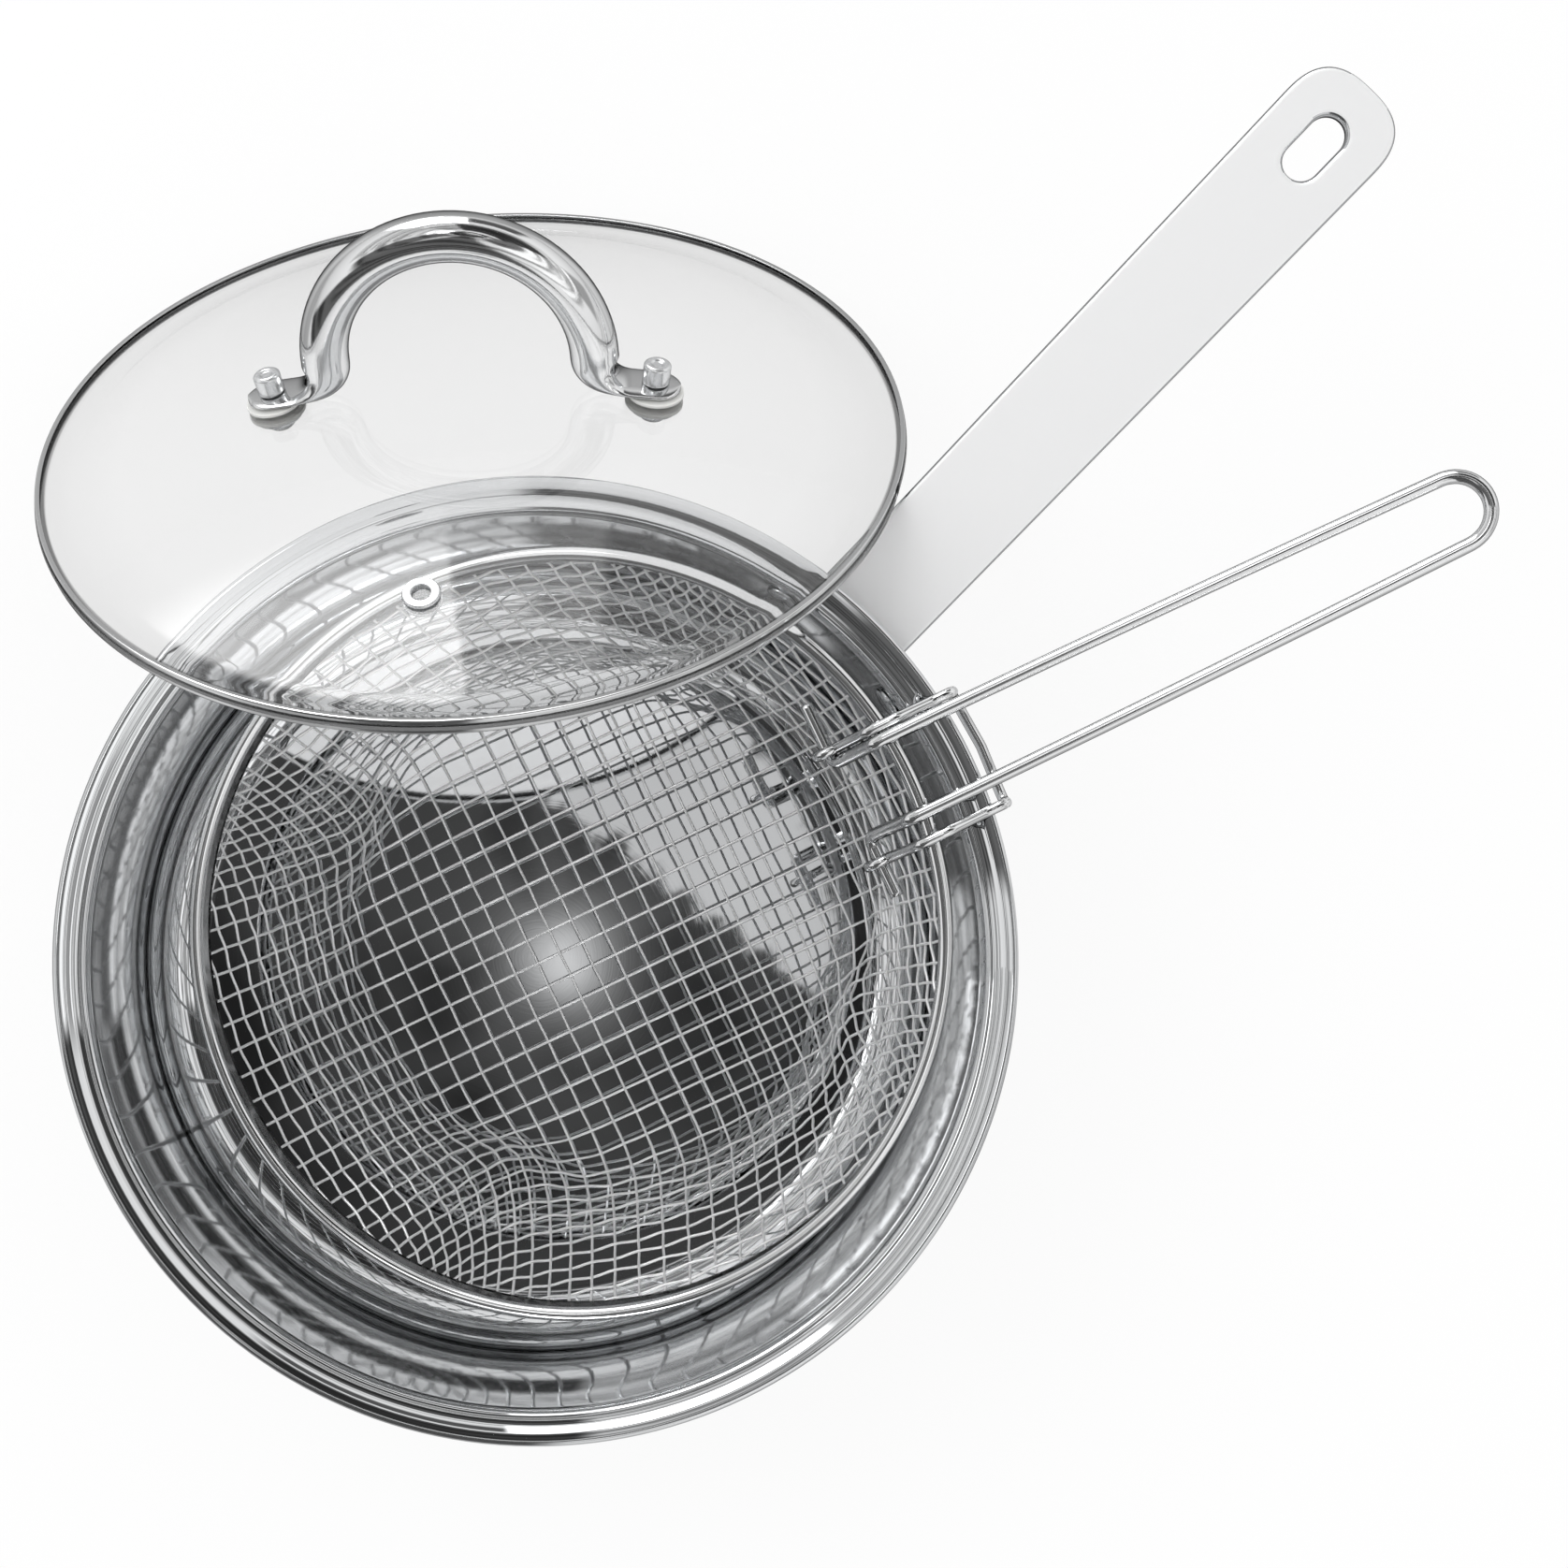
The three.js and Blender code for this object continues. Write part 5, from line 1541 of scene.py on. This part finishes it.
    def drawn(self, flat: Points, lift: Points) -> tuple[Points, Points]:
        """Draws places of the flat cloth into the basket's shape.

        A place's distance from the middle becomes its distance along the profile. Up the wall the
        cloth has more wire than the wall can hold: the surplus is its reach over the wall's radius,
        less one. Where the wires run straight out they keep their spacing, so the direction turns by a
        quarter of the surplus times the sine of four times its angle, and the wires gather on the
        diagonals. There a pleat pushes the lower wall inwards: by the pleat's depth times two bell
        curves, one round the basket and one along the profile. The wall also ripples a little, by a
        sine wave round the basket.

        Args:
            flat: Places in the flat cloth.
            lift: Each place's height over the cloth's middle, towards the inside.

        Returns:
            The places in the basket's frame, and the cloth's normals there.
        """
        reach = np.hypot(flat[:, 0], flat[:, 1])
        place, normal = self.profile_at(reach)
        azimuth = np.arctan2(flat[:, 1], flat[:, 0])
        surplus = np.clip(reach / np.maximum(place[:, 0], 1.0) - 1.0, 0.0, self.gather_most)
        azimuth = azimuth + surplus * np.sin(4.0 * azimuth) / 4.0
        out = np.column_stack([np.cos(azimuth), np.sin(azimuth)])
        diagonal = np.round((azimuth - math.pi / 4.0) / QUARTER_TURN) * QUARTER_TURN + math.pi / 4.0
        width = math.radians(self.pleat_degrees)
        around = np.exp(-(((azimuth - diagonal) / width) ** 2))
        upward = np.exp(-(((reach - self.flat_radius - self.pleat_place) / self.pleat_reach) ** 2))
        full, ended, fading = self.ripple_fades
        ripple = self.ripple * np.sin(self.ripples * azimuth)
        ripple *= smooth_step((reach - self.flat_radius) / full)
        ripple *= smooth_step((self.cloth_radius - ended - reach) / fading)
        push = self.pleat_depth * around * upward - ripple
        radius = place[:, 0] + normal[:, 0] * lift - push
        height = place[:, 1] + normal[:, 1] * lift + self.pleat_lift * self.pleat_depth * around * upward
        points = np.column_stack([out * radius[:, None], height])
        normals = np.column_stack([out * normal[:, :1], normal[:, 1]])
        return points, normals

    def weave(self) -> Skin:
        """The woven wires: straight rows across the flat cloth, over and under by a sine wave."""
        reach = self.cloth_radius
        count = int(reach / self.pitch)
        rows = (np.arange(-count, count) + 0.5) * self.pitch
        skins = []
        for family in (0, 1):
            for number, row in enumerate(rows):
                half = math.sqrt(reach**2 - row**2)
                along = np.linspace(-half, half, max(int(2.0 * half / (self.pitch / 4.0)), 8))
                wave = np.sin(math.pi * along / self.pitch + number * math.pi)
                lift = self.crimp * wave * (1.0 if family == 0 else -1.0)
                across = np.full(len(along), row)
                flat = np.column_stack([along, across] if family == 0 else [across, along])
                points, normals = self.drawn(flat, lift)
                skins.append(swept(points, normals, self.wire_radius, sides=6))
        return skins[0].joined(*skins[1:])

    def band(self) -> Skin:
        """The folded band over the mesh's upper edge: two walls, and a half round over their tops."""
        low = self.band_top - self.band_height
        half = (self.band_sheet + self.mesh_gap) + self.mesh_sheet / 2.0
        centre = (self.radius - half, self.band_top - half)
        outside = arc(centre, half, math.pi, 0.0, 22)
        inside = arc(centre, half - self.band_sheet, 0.0, math.pi, 16)
        outer_wall = np.linspace((self.radius, centre[1] - 1.0), (self.radius, low), 4)
        inner_wall = outer_wall[::-1] - np.array([2.0 * half, 0.0])
        outer_back = outer_wall[::-1] - np.array([self.band_sheet, 0.0])
        inner_back = inner_wall[::-1] + np.array([self.band_sheet, 0.0])
        profile = np.concatenate([inner_wall, outside, outer_wall, outer_back, inside, inner_back])
        return revolved(profile, 200)

    def hanger(self) -> Skin:
        """The hanger: an eye round each pin, up over both rims, and a cross bar outside the pan's."""
        pin = self.radius - self.pin_inset
        eye_radius = self.handle_wire + self.pivot_gap + self.hook_wire
        over_band = self.band_top + self.gap + self.hook_wire
        rest = self.gap + self.hook_wire
        inner = self.radius - 2.0 * (self.band_sheet + self.mesh_gap) - self.mesh_sheet
        bar = self.pan_rim_radius + self.hook_reach + self.hook_wire
        arms = []
        eyes = []
        for side in (1.0, -1.0):
            across = self.hook_aside + side * self.hook_spread
            centre = np.array([pin, across, -self.pin_drop])
            angle = np.arange(40) * FULL_TURN / 40
            circle = np.column_stack([np.cos(angle), np.zeros(len(angle)), np.sin(angle)])
            loop = circle * eye_radius + centre
            eyes.append(swept(loop, np.array([0.0, 1.0, 0.0]), self.hook_wire, sides=14, closed=True))
            crossing = np.array([inner - self.hook_rise, across, over_band])
            joint = centre + eye_radius * unit(crossing - centre)
            aside = self.aside + across
            rim_along = math.sqrt(self.pan_rim_radius**2 - aside**2)
            bar_along = math.sqrt(bar**2 - aside**2)
            arms.append(
                [
                    joint,
                    crossing,
                    np.array([self.radius + self.hook_wire, across, over_band]),
                    self.from_pan(rim_along - 2.0 * self.pan_rim_roll, aside, rest),
                    self.from_pan(bar_along, aside, rest),
                    self.from_pan(bar_along, aside, rest - self.hook_lip),
                ]
            )
        middle = self.from_pan(bar, self.aside + self.hook_aside, rest - self.hook_lip)
        corners = np.array([*arms[0], middle, *arms[1][::-1]])
        path = evened(bent_path(corners, self.bend), 1.2)
        rod = swept(path, np.array(self.rod_up), self.hook_wire, sides=16)
        return rod.joined(*eyes)

    def handle(self) -> Skin:
        """The handle: one rod from pin to pin, over the band, out, and round its tip."""
        pin = self.radius - self.pin_inset
        over_band = self.band_top + self.gap + self.handle_wire
        centre = self.handle_tip_reach - self.handle_wire - self.handle_tip_spread
        rim = self.radius - self.band_sheet
        slope = (self.handle_tip_rise - over_band) / (centre - rim)
        sweep_start = self.handle_mid_reach - self.handle_sweep
        corners = np.array(
            [
                [pin, self.pin_end, -self.pin_drop],
                [pin, self.handle_spread, -self.pin_drop],
                [rim - self.handle_rise, self.handle_spread, over_band],
                [sweep_start, self.handle_spread, over_band + slope * (sweep_start - rim)],
            ]
        )
        leg = bent_path(corners, self.bend)
        share = np.linspace(0.0, 1.0, 30)[1:, None]
        knee_rise = over_band + slope * (self.handle_mid_reach - rim)
        knee = np.array([self.handle_mid_reach, self.handle_mid_spread, knee_rise])
        end = np.array([centre, self.handle_tip_spread, self.handle_tip_rise])
        run = quadratic(corners[-1], knee, end, share)
        angle = np.linspace(QUARTER_TURN, 0.0, 14)[1:]
        tip = np.column_stack(
            [
                centre + self.handle_tip_spread * np.cos(angle),
                self.handle_tip_spread * np.sin(angle),
                self.handle_tip_rise + slope * self.handle_tip_spread * np.cos(angle),
            ]
        )
        half = np.concatenate([leg, run, tip])
        mirrored = (half * np.array([1.0, -1.0, 1.0]))[::-1][1:]
        path = evened(np.concatenate([half, mirrored]), 1.1)
        return swept(path, np.array(self.grip_up), self.handle_wire, sides=20)


# The studio


Span = tuple[float, float, float, float]


class Streak(Enum):
    """Streaks of a panel: how many there are to a degree, and the dark ones' level."""

    BROAD = (0.22, 0.30)
    LINES = (0.8, 0.22)
    FINE = (4.0, 0.06)


@dataclass
class Sky:
    """What a mirrored ray's direction tells the world's nodes.

    Attributes:
        bench: The world's nodes.
        around: The direction's angle round the compass, in degrees from the picture's right.
        degrees: Its angle from straight up.
        streaks: The level of each kind of streak there.
    """

    bench: ShaderBench
    around: Socket
    degrees: Socket
    streaks: dict[Streak, Socket] = field(init=False)

    def __post_init__(self) -> None:
        """Adds each kind of streak once."""
        self.streaks = {streak: self.arcs(*streak.value) for streak in Streak}

    def arcs(self, fineness: float, darkest: float) -> Socket:
        """Uneven bright and dark arcs round the zenith, which curved steel draws out to thin lines.

        Args:
            fineness: How many arcs there are to a degree.
            darkest: The level of the dark arcs, where the bright ones have one.

        Returns:
            The arcs' level.
        """
        bench = self.bench
        angle = bench.times(self.around, math.pi / 180.0)
        place = bench.vector(
            bench.times(self.degrees, fineness),
            bench.times(bench.maths("COSINE", angle), 0.7),
            bench.times(bench.maths("SINE", angle), 0.7),
        )
        noise = bench.noise(place, Scale=1.0, Detail=2.0, Roughness=0.6)
        return bench.ramp(noise, [(0.42, darkest), (0.56, 1.0)])

    def slanted(self, slant: float, pivot: float) -> Socket:
        """The angle round the compass, moved on by the slant for each degree below the pivot."""
        bench = self.bench
        below = bench.maths("SUBTRACT", self.degrees, pivot)
        return bench.maths("ADD", self.around, bench.times(below, slant))

    def inside(self, value: Socket, span: Span) -> Socket:
        """A share that starts at a span's first value, is full from the second to the third, and has
        ended at the last."""
        starts = self.bench.between(value, span[0], span[1])
        ends = self.bench.between(value, span[3], span[2])
        return self.bench.times(starts, ends)


@dataclass(frozen=True)
class Panel:
    """A soft-edged panel of the studio, which only mirrored rays see.

    Attributes:
        sides: Where it starts, is full, starts to end and has ended, in degrees round the compass
            from the picture's right.
        heights: The same in degrees from straight up.
        level: Its brightness.
        streak: The streaks that it shows, if any.
        slant: How far its sides lean, in degrees round the compass for each degree down.
        pivot: The height at which a leaning panel has its sides where they are written.
        cut: Where an upright edge cuts it off: its share is 0 at the first, full at the second.
        lit_heights: The heights of a brighter stretch of it, if it has one.
        lit_level: How bright that stretch is.
    """

    sides: Span
    heights: Span
    level: float
    streak: Streak | None = None
    slant: float = 0.0
    pivot: float = 60.0
    cut: tuple[float, float] | None = None
    lit_heights: Span | None = None
    lit_level: float = 0.0

    def share(self, sky: Sky) -> Socket:
        """How much of the panel a direction shows, from 0 to 1."""
        around = sky.slanted(self.slant, self.pivot) if self.slant else sky.around
        bench = sky.bench
        tall = sky.inside(sky.degrees, self.heights)
        share = bench.times(sky.inside(around, self.sides), tall)
        if self.cut is None:
            return share
        return bench.times(share, bench.between(sky.around, *self.cut))

    def brightness(self, sky: Sky) -> Socket | float:
        """The panel's level in a direction, with its brighter stretch and its streaks."""
        level = self.level
        if self.lit_heights is not None:
            lit = sky.inside(sky.degrees, self.lit_heights)
            level = sky.bench.blend(lit, self.level, self.lit_level)
        if self.streak is None:
            return level
        return sky.bench.times(sky.streaks[self.streak], level)


PANELS = {
    "stand": Panel((-34.0, -22.0, 4.0, 14.0), (52.0, 58.0, 74.0, 80.0), 0.36),
    "shade": Panel((126.0, 134.0, 178.0, 186.0), (22.0, 26.0, 60.0, 66.0), 0.80, Streak.LINES),
    "flag": Panel((-172.0, -167.0, -135.0, -128.0), (10.6, 12.0, 54.0, 60.0), 0.14, Streak.BROAD),
    "beam": Panel((126.0, 134.0, 200.0, 208.0), (10.4, 11.0, 21.0, 24.0), 2.4, Streak.BROAD),
    "dim_corner": Panel(
        (-149.0, -141.0, 300.0, 310.0),
        (10.4, 11.5, 98.0, 108.0),
        0.12,
        Streak.BROAD,
        slant=0.6,
        cut=(-86.0, -92.0),
    ),
    "louvre": Panel(
        (-78.0, -68.0, 5.0, 9.0),
        (10.4, 11.0, 58.0, 62.0),
        0.18,
        Streak.BROAD,
        lit_heights=(25.0, 27.0, 58.0, 62.0),
        lit_level=1.15,
    ),
    "screen": Panel((5.0, 9.0, 95.0, 99.0), (14.0, 16.0, 42.0, 46.0), 0.08, Streak.BROAD),
    "curtain": Panel((50.0, 58.0, 86.0, 87.5), (56.0, 60.0, 74.0, 86.0), 0.10),
    "ceiling_ring": Panel((-75.0, -66.0, 6.0, 9.0), (7.9, 8.2, 9.8, 10.4), 0.9, Streak.FINE),
    "window": Panel((98.5, 99.5, 121.0, 131.0), (47.0, 51.0, 74.0, 86.0), 8.0),
    "window_frame": Panel((86.0, 87.5, 98.5, 99.5), (47.0, 51.0, 74.0, 86.0), 2.2),
}


@dataclass
class Studio:
    """The camera over the pan, the pale table and the plain soft light.

    The camera's place, in millimetres, and its lean are given in a frame that is turned with the
    picture: X to its right and Y up it, from the pan's axis on the table. The table's and the lamp's
    sizes are in metres.

    Attributes:
        picture_turn_degrees: How far the picture is turned against the pan's frame.
        lean_toward_degrees: The direction in which the camera leans, from the picture's right.
        table_glow: How far the camera, metal and glass see the table as plain light.
        mirrored_table: How bright mirrored rays see the table's dim patches.
        mirrored_panel: How bright they see its bright ones.
        box_edge: How far the large soft box's straight edge lies aside, for a unit of height.
        box_edge_degrees: The direction in which it lies, from the picture's right.
        lamp_place: The lamp's reach, and its direction from the picture's right.
        sky_stops: The sky's level at angles from straight up.
        streaky_heights: From the first of these angles up to the second, its streaks fade in.
    """

    picture_turn_degrees: float = 46.1
    camera_place: tuple[float, float, float] = (3.8, 6.9, 778.2)
    lean_degrees: float = 1.13
    lean_toward_degrees: float = 21.8
    roll_degrees: float = 0.09
    picture_pixels: float = 1676.0
    focal_pixels: float = 2723.0
    shift_pixels: tuple[float, float] = (198.4, 142.5)
    sensor: float = 36.0
    floor_half: float = 4.0
    table_grey: float = 0.9
    table_glow: float = 0.85
    mirrored_table: float = 0.30
    mirrored_panel: float = 0.66
    panel_fineness: float = 1.7
    ceiling_height: float = 0.5
    box_edge_degrees: float = 53.9
    box_edge: float = 0.0422
    box_reach: float = 0.112
    box_level: float = 0.62
    box_ragged: float = 0.03
    box_grain: float = 90.0
    box_softness: float = 0.003
    glow_place: tuple[float, float] = (0.0048, -0.0095)
    glow_size: float = 0.015
    glow_level: float = 0.72
    lamp_size: float = 0.9
    lamp_energy: float = 6.0
    lamp_place: tuple[float, float] = (1.1, 150.0)
    lamp_height: float = 1.5
    streaky_heights: tuple[float, float] = (60.0, 50.0)
    sky_stops: tuple[tuple[float, float], ...] = (
        (0.0, 0.06), (9.7, 0.05), (10.6, 0.95), (20.0, 0.80),
        (60.0, 0.90), (75.0, 0.78), (84.0, 0.70), (90.0, 0.50),
    )

    def build(self) -> None:
        """Sets up the camera, the table, the world, the lamp and the view settings."""
        self.camera()
        self.table()
        self.world()
        self.lamp()
        bpy.context.scene.view_settings.view_transform = "Standard"

    def camera(self) -> None:
        """Points the camera down at the pan, rolled so that the picture's up is the photograph's."""
        data = bpy.data.cameras.new("camera")
        data.sensor_width = self.sensor
        data.lens = self.focal_pixels / self.picture_pixels * self.sensor
        data.shift_x = self.shift_pixels[0] / self.picture_pixels
        data.shift_y = self.shift_pixels[1] / self.picture_pixels
        lean = math.radians(self.lean_degrees)
        toward = math.radians(self.lean_toward_degrees)
        roll = math.radians(self.roll_degrees)
        aside = math.sin(lean)
        look = Vector((aside * math.cos(toward), aside * math.sin(toward), -math.cos(lean)))
        right = look.cross(Vector((math.sin(roll), math.cos(roll), 0.0))).normalized()
        upward = right.cross(look)
        axes = Matrix((right, upward, -look)).transposed().to_4x4()
        unturn = Matrix.Rotation(-math.radians(self.picture_turn_degrees), 4, "Z")
        place = Matrix.Translation(Vector(self.camera_place) * MILLIMETRE)
        camera = bpy.data.objects.new("camera", data)
        camera.matrix_world = unturn @ place @ axes
        bpy.context.scene.collection.objects.link(camera)
        bpy.context.scene.camera = camera
        LOG.info("camera: %.1f mm lens", data.lens)

    def table(self) -> None:
        """Lays the pale table, which the camera and glass see almost white, and steel dimmer."""
        mesh = bpy.data.meshes.new("table_top")
        half = self.floor_half
        corners = [(-half, -half, 0.0), (half, -half, 0.0), (half, half, 0.0), (-half, half, 0.0)]
        mesh.from_pydata(corners, [], [(0, 1, 2, 3)])
        table = bpy.data.objects.new("table_top", mesh)
        bpy.context.scene.collection.objects.link(table)
        mesh.materials.append(self.table_finish())
        LOG.info("table: %.0f m wide", 2.0 * half)

    def table_finish(self) -> Material:
        """A matt white that glows for the rays that look at it, and keeps shadows for the rest.

        Mirrored rays see soft, uneven patches, which depend on the direction from the pan alone.
        """
        material = bpy.data.materials.new("white_table")
        material.use_nodes = True
        bench = ShaderBench(material.node_tree)
        shader = material.node_tree.nodes["Principled BSDF"]
        shader.inputs["Base Color"].default_value = (self.table_grey, self.table_grey, self.table_grey, 1.0)
        shader.inputs["Roughness"].default_value = 0.9
        shader.inputs["Specular IOR Level"].default_value = 0.0
        glow = bench.add("ShaderNodeEmission", Color=(1.0, 1.0, 1.0, 1.0))
        path = bench.add("ShaderNodeLightPath")
        mirrored = self.mirrored(bench, path)
        compass = bench.add("ShaderNodeVectorMath", operation="NORMALIZE")
        bench.join(bench.object_place(), compass.inputs[0])
        patches = bench.noise(compass.outputs[0], Scale=self.panel_fineness, Detail=1.0)
        dimmer = bench.ramp(patches, [(0.40, self.mirrored_table), (0.60, self.mirrored_panel)])
        bench.join(bench.blend(mirrored, 1.0, dimmer), glow.inputs["Strength"])
        seen = bench.maths("MAXIMUM", path.outputs["Is Camera Ray"], path.outputs["Is Transmission Ray"])
        seen = bench.times(bench.maths("MAXIMUM", seen, mirrored), self.table_glow)
        mix = bench.add("ShaderNodeMixShader")
        bench.join(seen, mix.inputs["Fac"])
        bench.join(shader.outputs[0], mix.inputs[1])
        bench.join(glow.outputs[0], mix.inputs[2])
        bench.join(mix.outputs[0], material.node_tree.nodes["Material Output"].inputs["Surface"])
        return material

    @staticmethod
    def mirrored(bench: ShaderBench, path: Node) -> Socket:
        """1 for a ray that a surface mirrored, 0 for one that went straight or through glass."""
        straight = bench.maths("SUBTRACT", 1.0, path.outputs["Is Transmission Ray"])
        return bench.times(path.outputs["Is Glossy Ray"], straight)

    def world(self) -> None:
        """Lights the scene evenly, and gives polished metal and glass a studio to mirror.

        Only mirrored rays see the studio: a dim ceiling right over the pan with two soft boxes in it,
        a bright sky of diffusers round it, and the panels, each laid over those before it. All of it
        depends on the direction alone. Every other ray sees plain white.
        """
        world = bpy.data.worlds.new("studio")
        bpy.context.scene.world = world
        world.cycles.sampling_method = "NONE"
        world.use_nodes = True
        bench = ShaderBench(world.node_tree)
        world.node_tree.nodes.clear()
        output = bench.add("ShaderNodeOutputWorld")
        turned = bench.add("ShaderNodeVectorRotate", rotation_type="Z_AXIS")
        bench.join(bench.add("ShaderNodeTexCoord").outputs["Generated"], turned.inputs["Vector"])
        turned.inputs["Angle"].default_value = math.radians(self.picture_turn_degrees)
        split = bench.add("ShaderNodeSeparateXYZ")
        bench.join(turned.outputs[0], split.inputs[0])
        right, upward, height = split.outputs
        polar = bench.times(bench.maths("ARCCOSINE", height), 1.0 / math.pi)
        around = bench.times(bench.maths("ARCTAN2", upward, right), 180.0 / math.pi)
        sky = Sky(bench, around, bench.times(polar, 180.0))
        level = bench.ramp(polar, [(angle / 180.0, grey) for angle, grey in self.sky_stops])
        streaky = bench.times(level, sky.streaks[Streak.BROAD])
        level = bench.blend(bench.between(sky.degrees, *self.streaky_heights), level, streaky)
        for name, panel in PANELS.items():
            level = bench.blend(panel.share(sky), level, panel.brightness(sky))
            LOG.info("studio panel: %s", name)
        level = bench.maths("ADD", level, self.ceiling_boxes(bench, right, upward, height))
        path = bench.add("ShaderNodeLightPath")
        level = bench.blend(self.mirrored(bench, path), 1.0, level)
        background = bench.add("ShaderNodeBackground", Color=(1.0, 1.0, 1.0, 1.0))
        bench.join(level, background.inputs["Strength"])
        bench.join(background.outputs[0], output.inputs["Surface"])

    def ceiling_boxes(self, bench: ShaderBench, right: Socket, upward: Socket, height: Socket) -> Socket:
        """The two soft boxes in the dim ceiling, on a plane one unit over the pan.

        The large one is cut off by a straight edge on one side and by a circle on the other; the
        small one is a bell curve, high in the middle.

        Args:
            bench: The world's nodes.
            right: The direction's part to the picture's right.
            upward: Its part up the picture.
            height: Its part straight up.

        Returns:
            The boxes' level.
        """
        above = bench.maths("GREATER_THAN", height, self.ceiling_height)
        across = bench.maths("DIVIDE", right, height)
        along = bench.maths("DIVIDE", upward, height)
        noise = bench.noise(bench.vector(across, along), Scale=self.box_grain, Detail=3.0, Roughness=0.6)
        ragged = bench.times(bench.maths("SUBTRACT", noise, 0.5), self.box_ragged)
        edge = math.radians(self.box_edge_degrees)
        toward_right = bench.times(across, math.cos(edge))
        toward_top = bench.times(along, math.sin(edge))
        off_edge = bench.maths("ADD", bench.maths("ADD", toward_right, toward_top), ragged)
        reach = bench.maths("ADD", bench.maths("SQRT", bench.squares(across, along)), ragged)
        soft = self.box_softness
        past_edge = bench.between(off_edge, self.box_edge - soft / 3.0, self.box_edge + soft)
        in_circle = bench.between(reach, self.box_reach + soft, self.box_reach - soft)
        large = bench.times(bench.times(past_edge, in_circle), self.box_level)
        middle = self.glow_place
        glow_across = bench.maths("DIVIDE", bench.maths("SUBTRACT", across, middle[0]), self.glow_size)
        glow_along = bench.maths("DIVIDE", bench.maths("SUBTRACT", along, middle[1]), self.glow_size)
        spread = bench.maths("POWER", bench.squares(glow_across, glow_along), 1.5)
        glow = bench.maths("DIVIDE", 1.0, bench.maths("ADD", 1.0, spread))
        boxes = bench.maths("ADD", large, bench.times(glow, self.glow_level))
        return bench.times(boxes, above)

    def lamp(self) -> None:
        """Hangs one large soft lamp over the left of the picture, which steel and glass don't mirror."""
        data = bpy.data.lights.new("soft_lamp", "AREA")
        data.shape = "SQUARE"
        data.size = self.lamp_size
        data.energy = self.lamp_energy
        lamp = bpy.data.objects.new("soft_lamp", data)
        reach, direction = self.lamp_place
        turn = math.radians(direction - self.picture_turn_degrees)
        lamp.location = (reach * math.cos(turn), reach * math.sin(turn), self.lamp_height)
        lamp.rotation_euler = (-Vector(lamp.location)).to_track_quat("-Z", "Y").to_euler()
        lamp.visible_glossy = False
        bpy.context.scene.collection.objects.link(lamp)
        LOG.info("lamp: %.1f m up", self.lamp_height)


def main() -> None:
    """Loads the frame, builds the pan, the lid, the basket and the studio."""
    logging.basicConfig(level=logging.INFO, format="%(name)s: %(message)s")
    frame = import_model()
    Pan().build()
    lid = Lid()
    lid.settle(frame["joints"])
    lid.build()
    basket = Basket()
    basket.settle()
    basket.build()
    Studio().build()


if __name__ == "__main__":
    main()
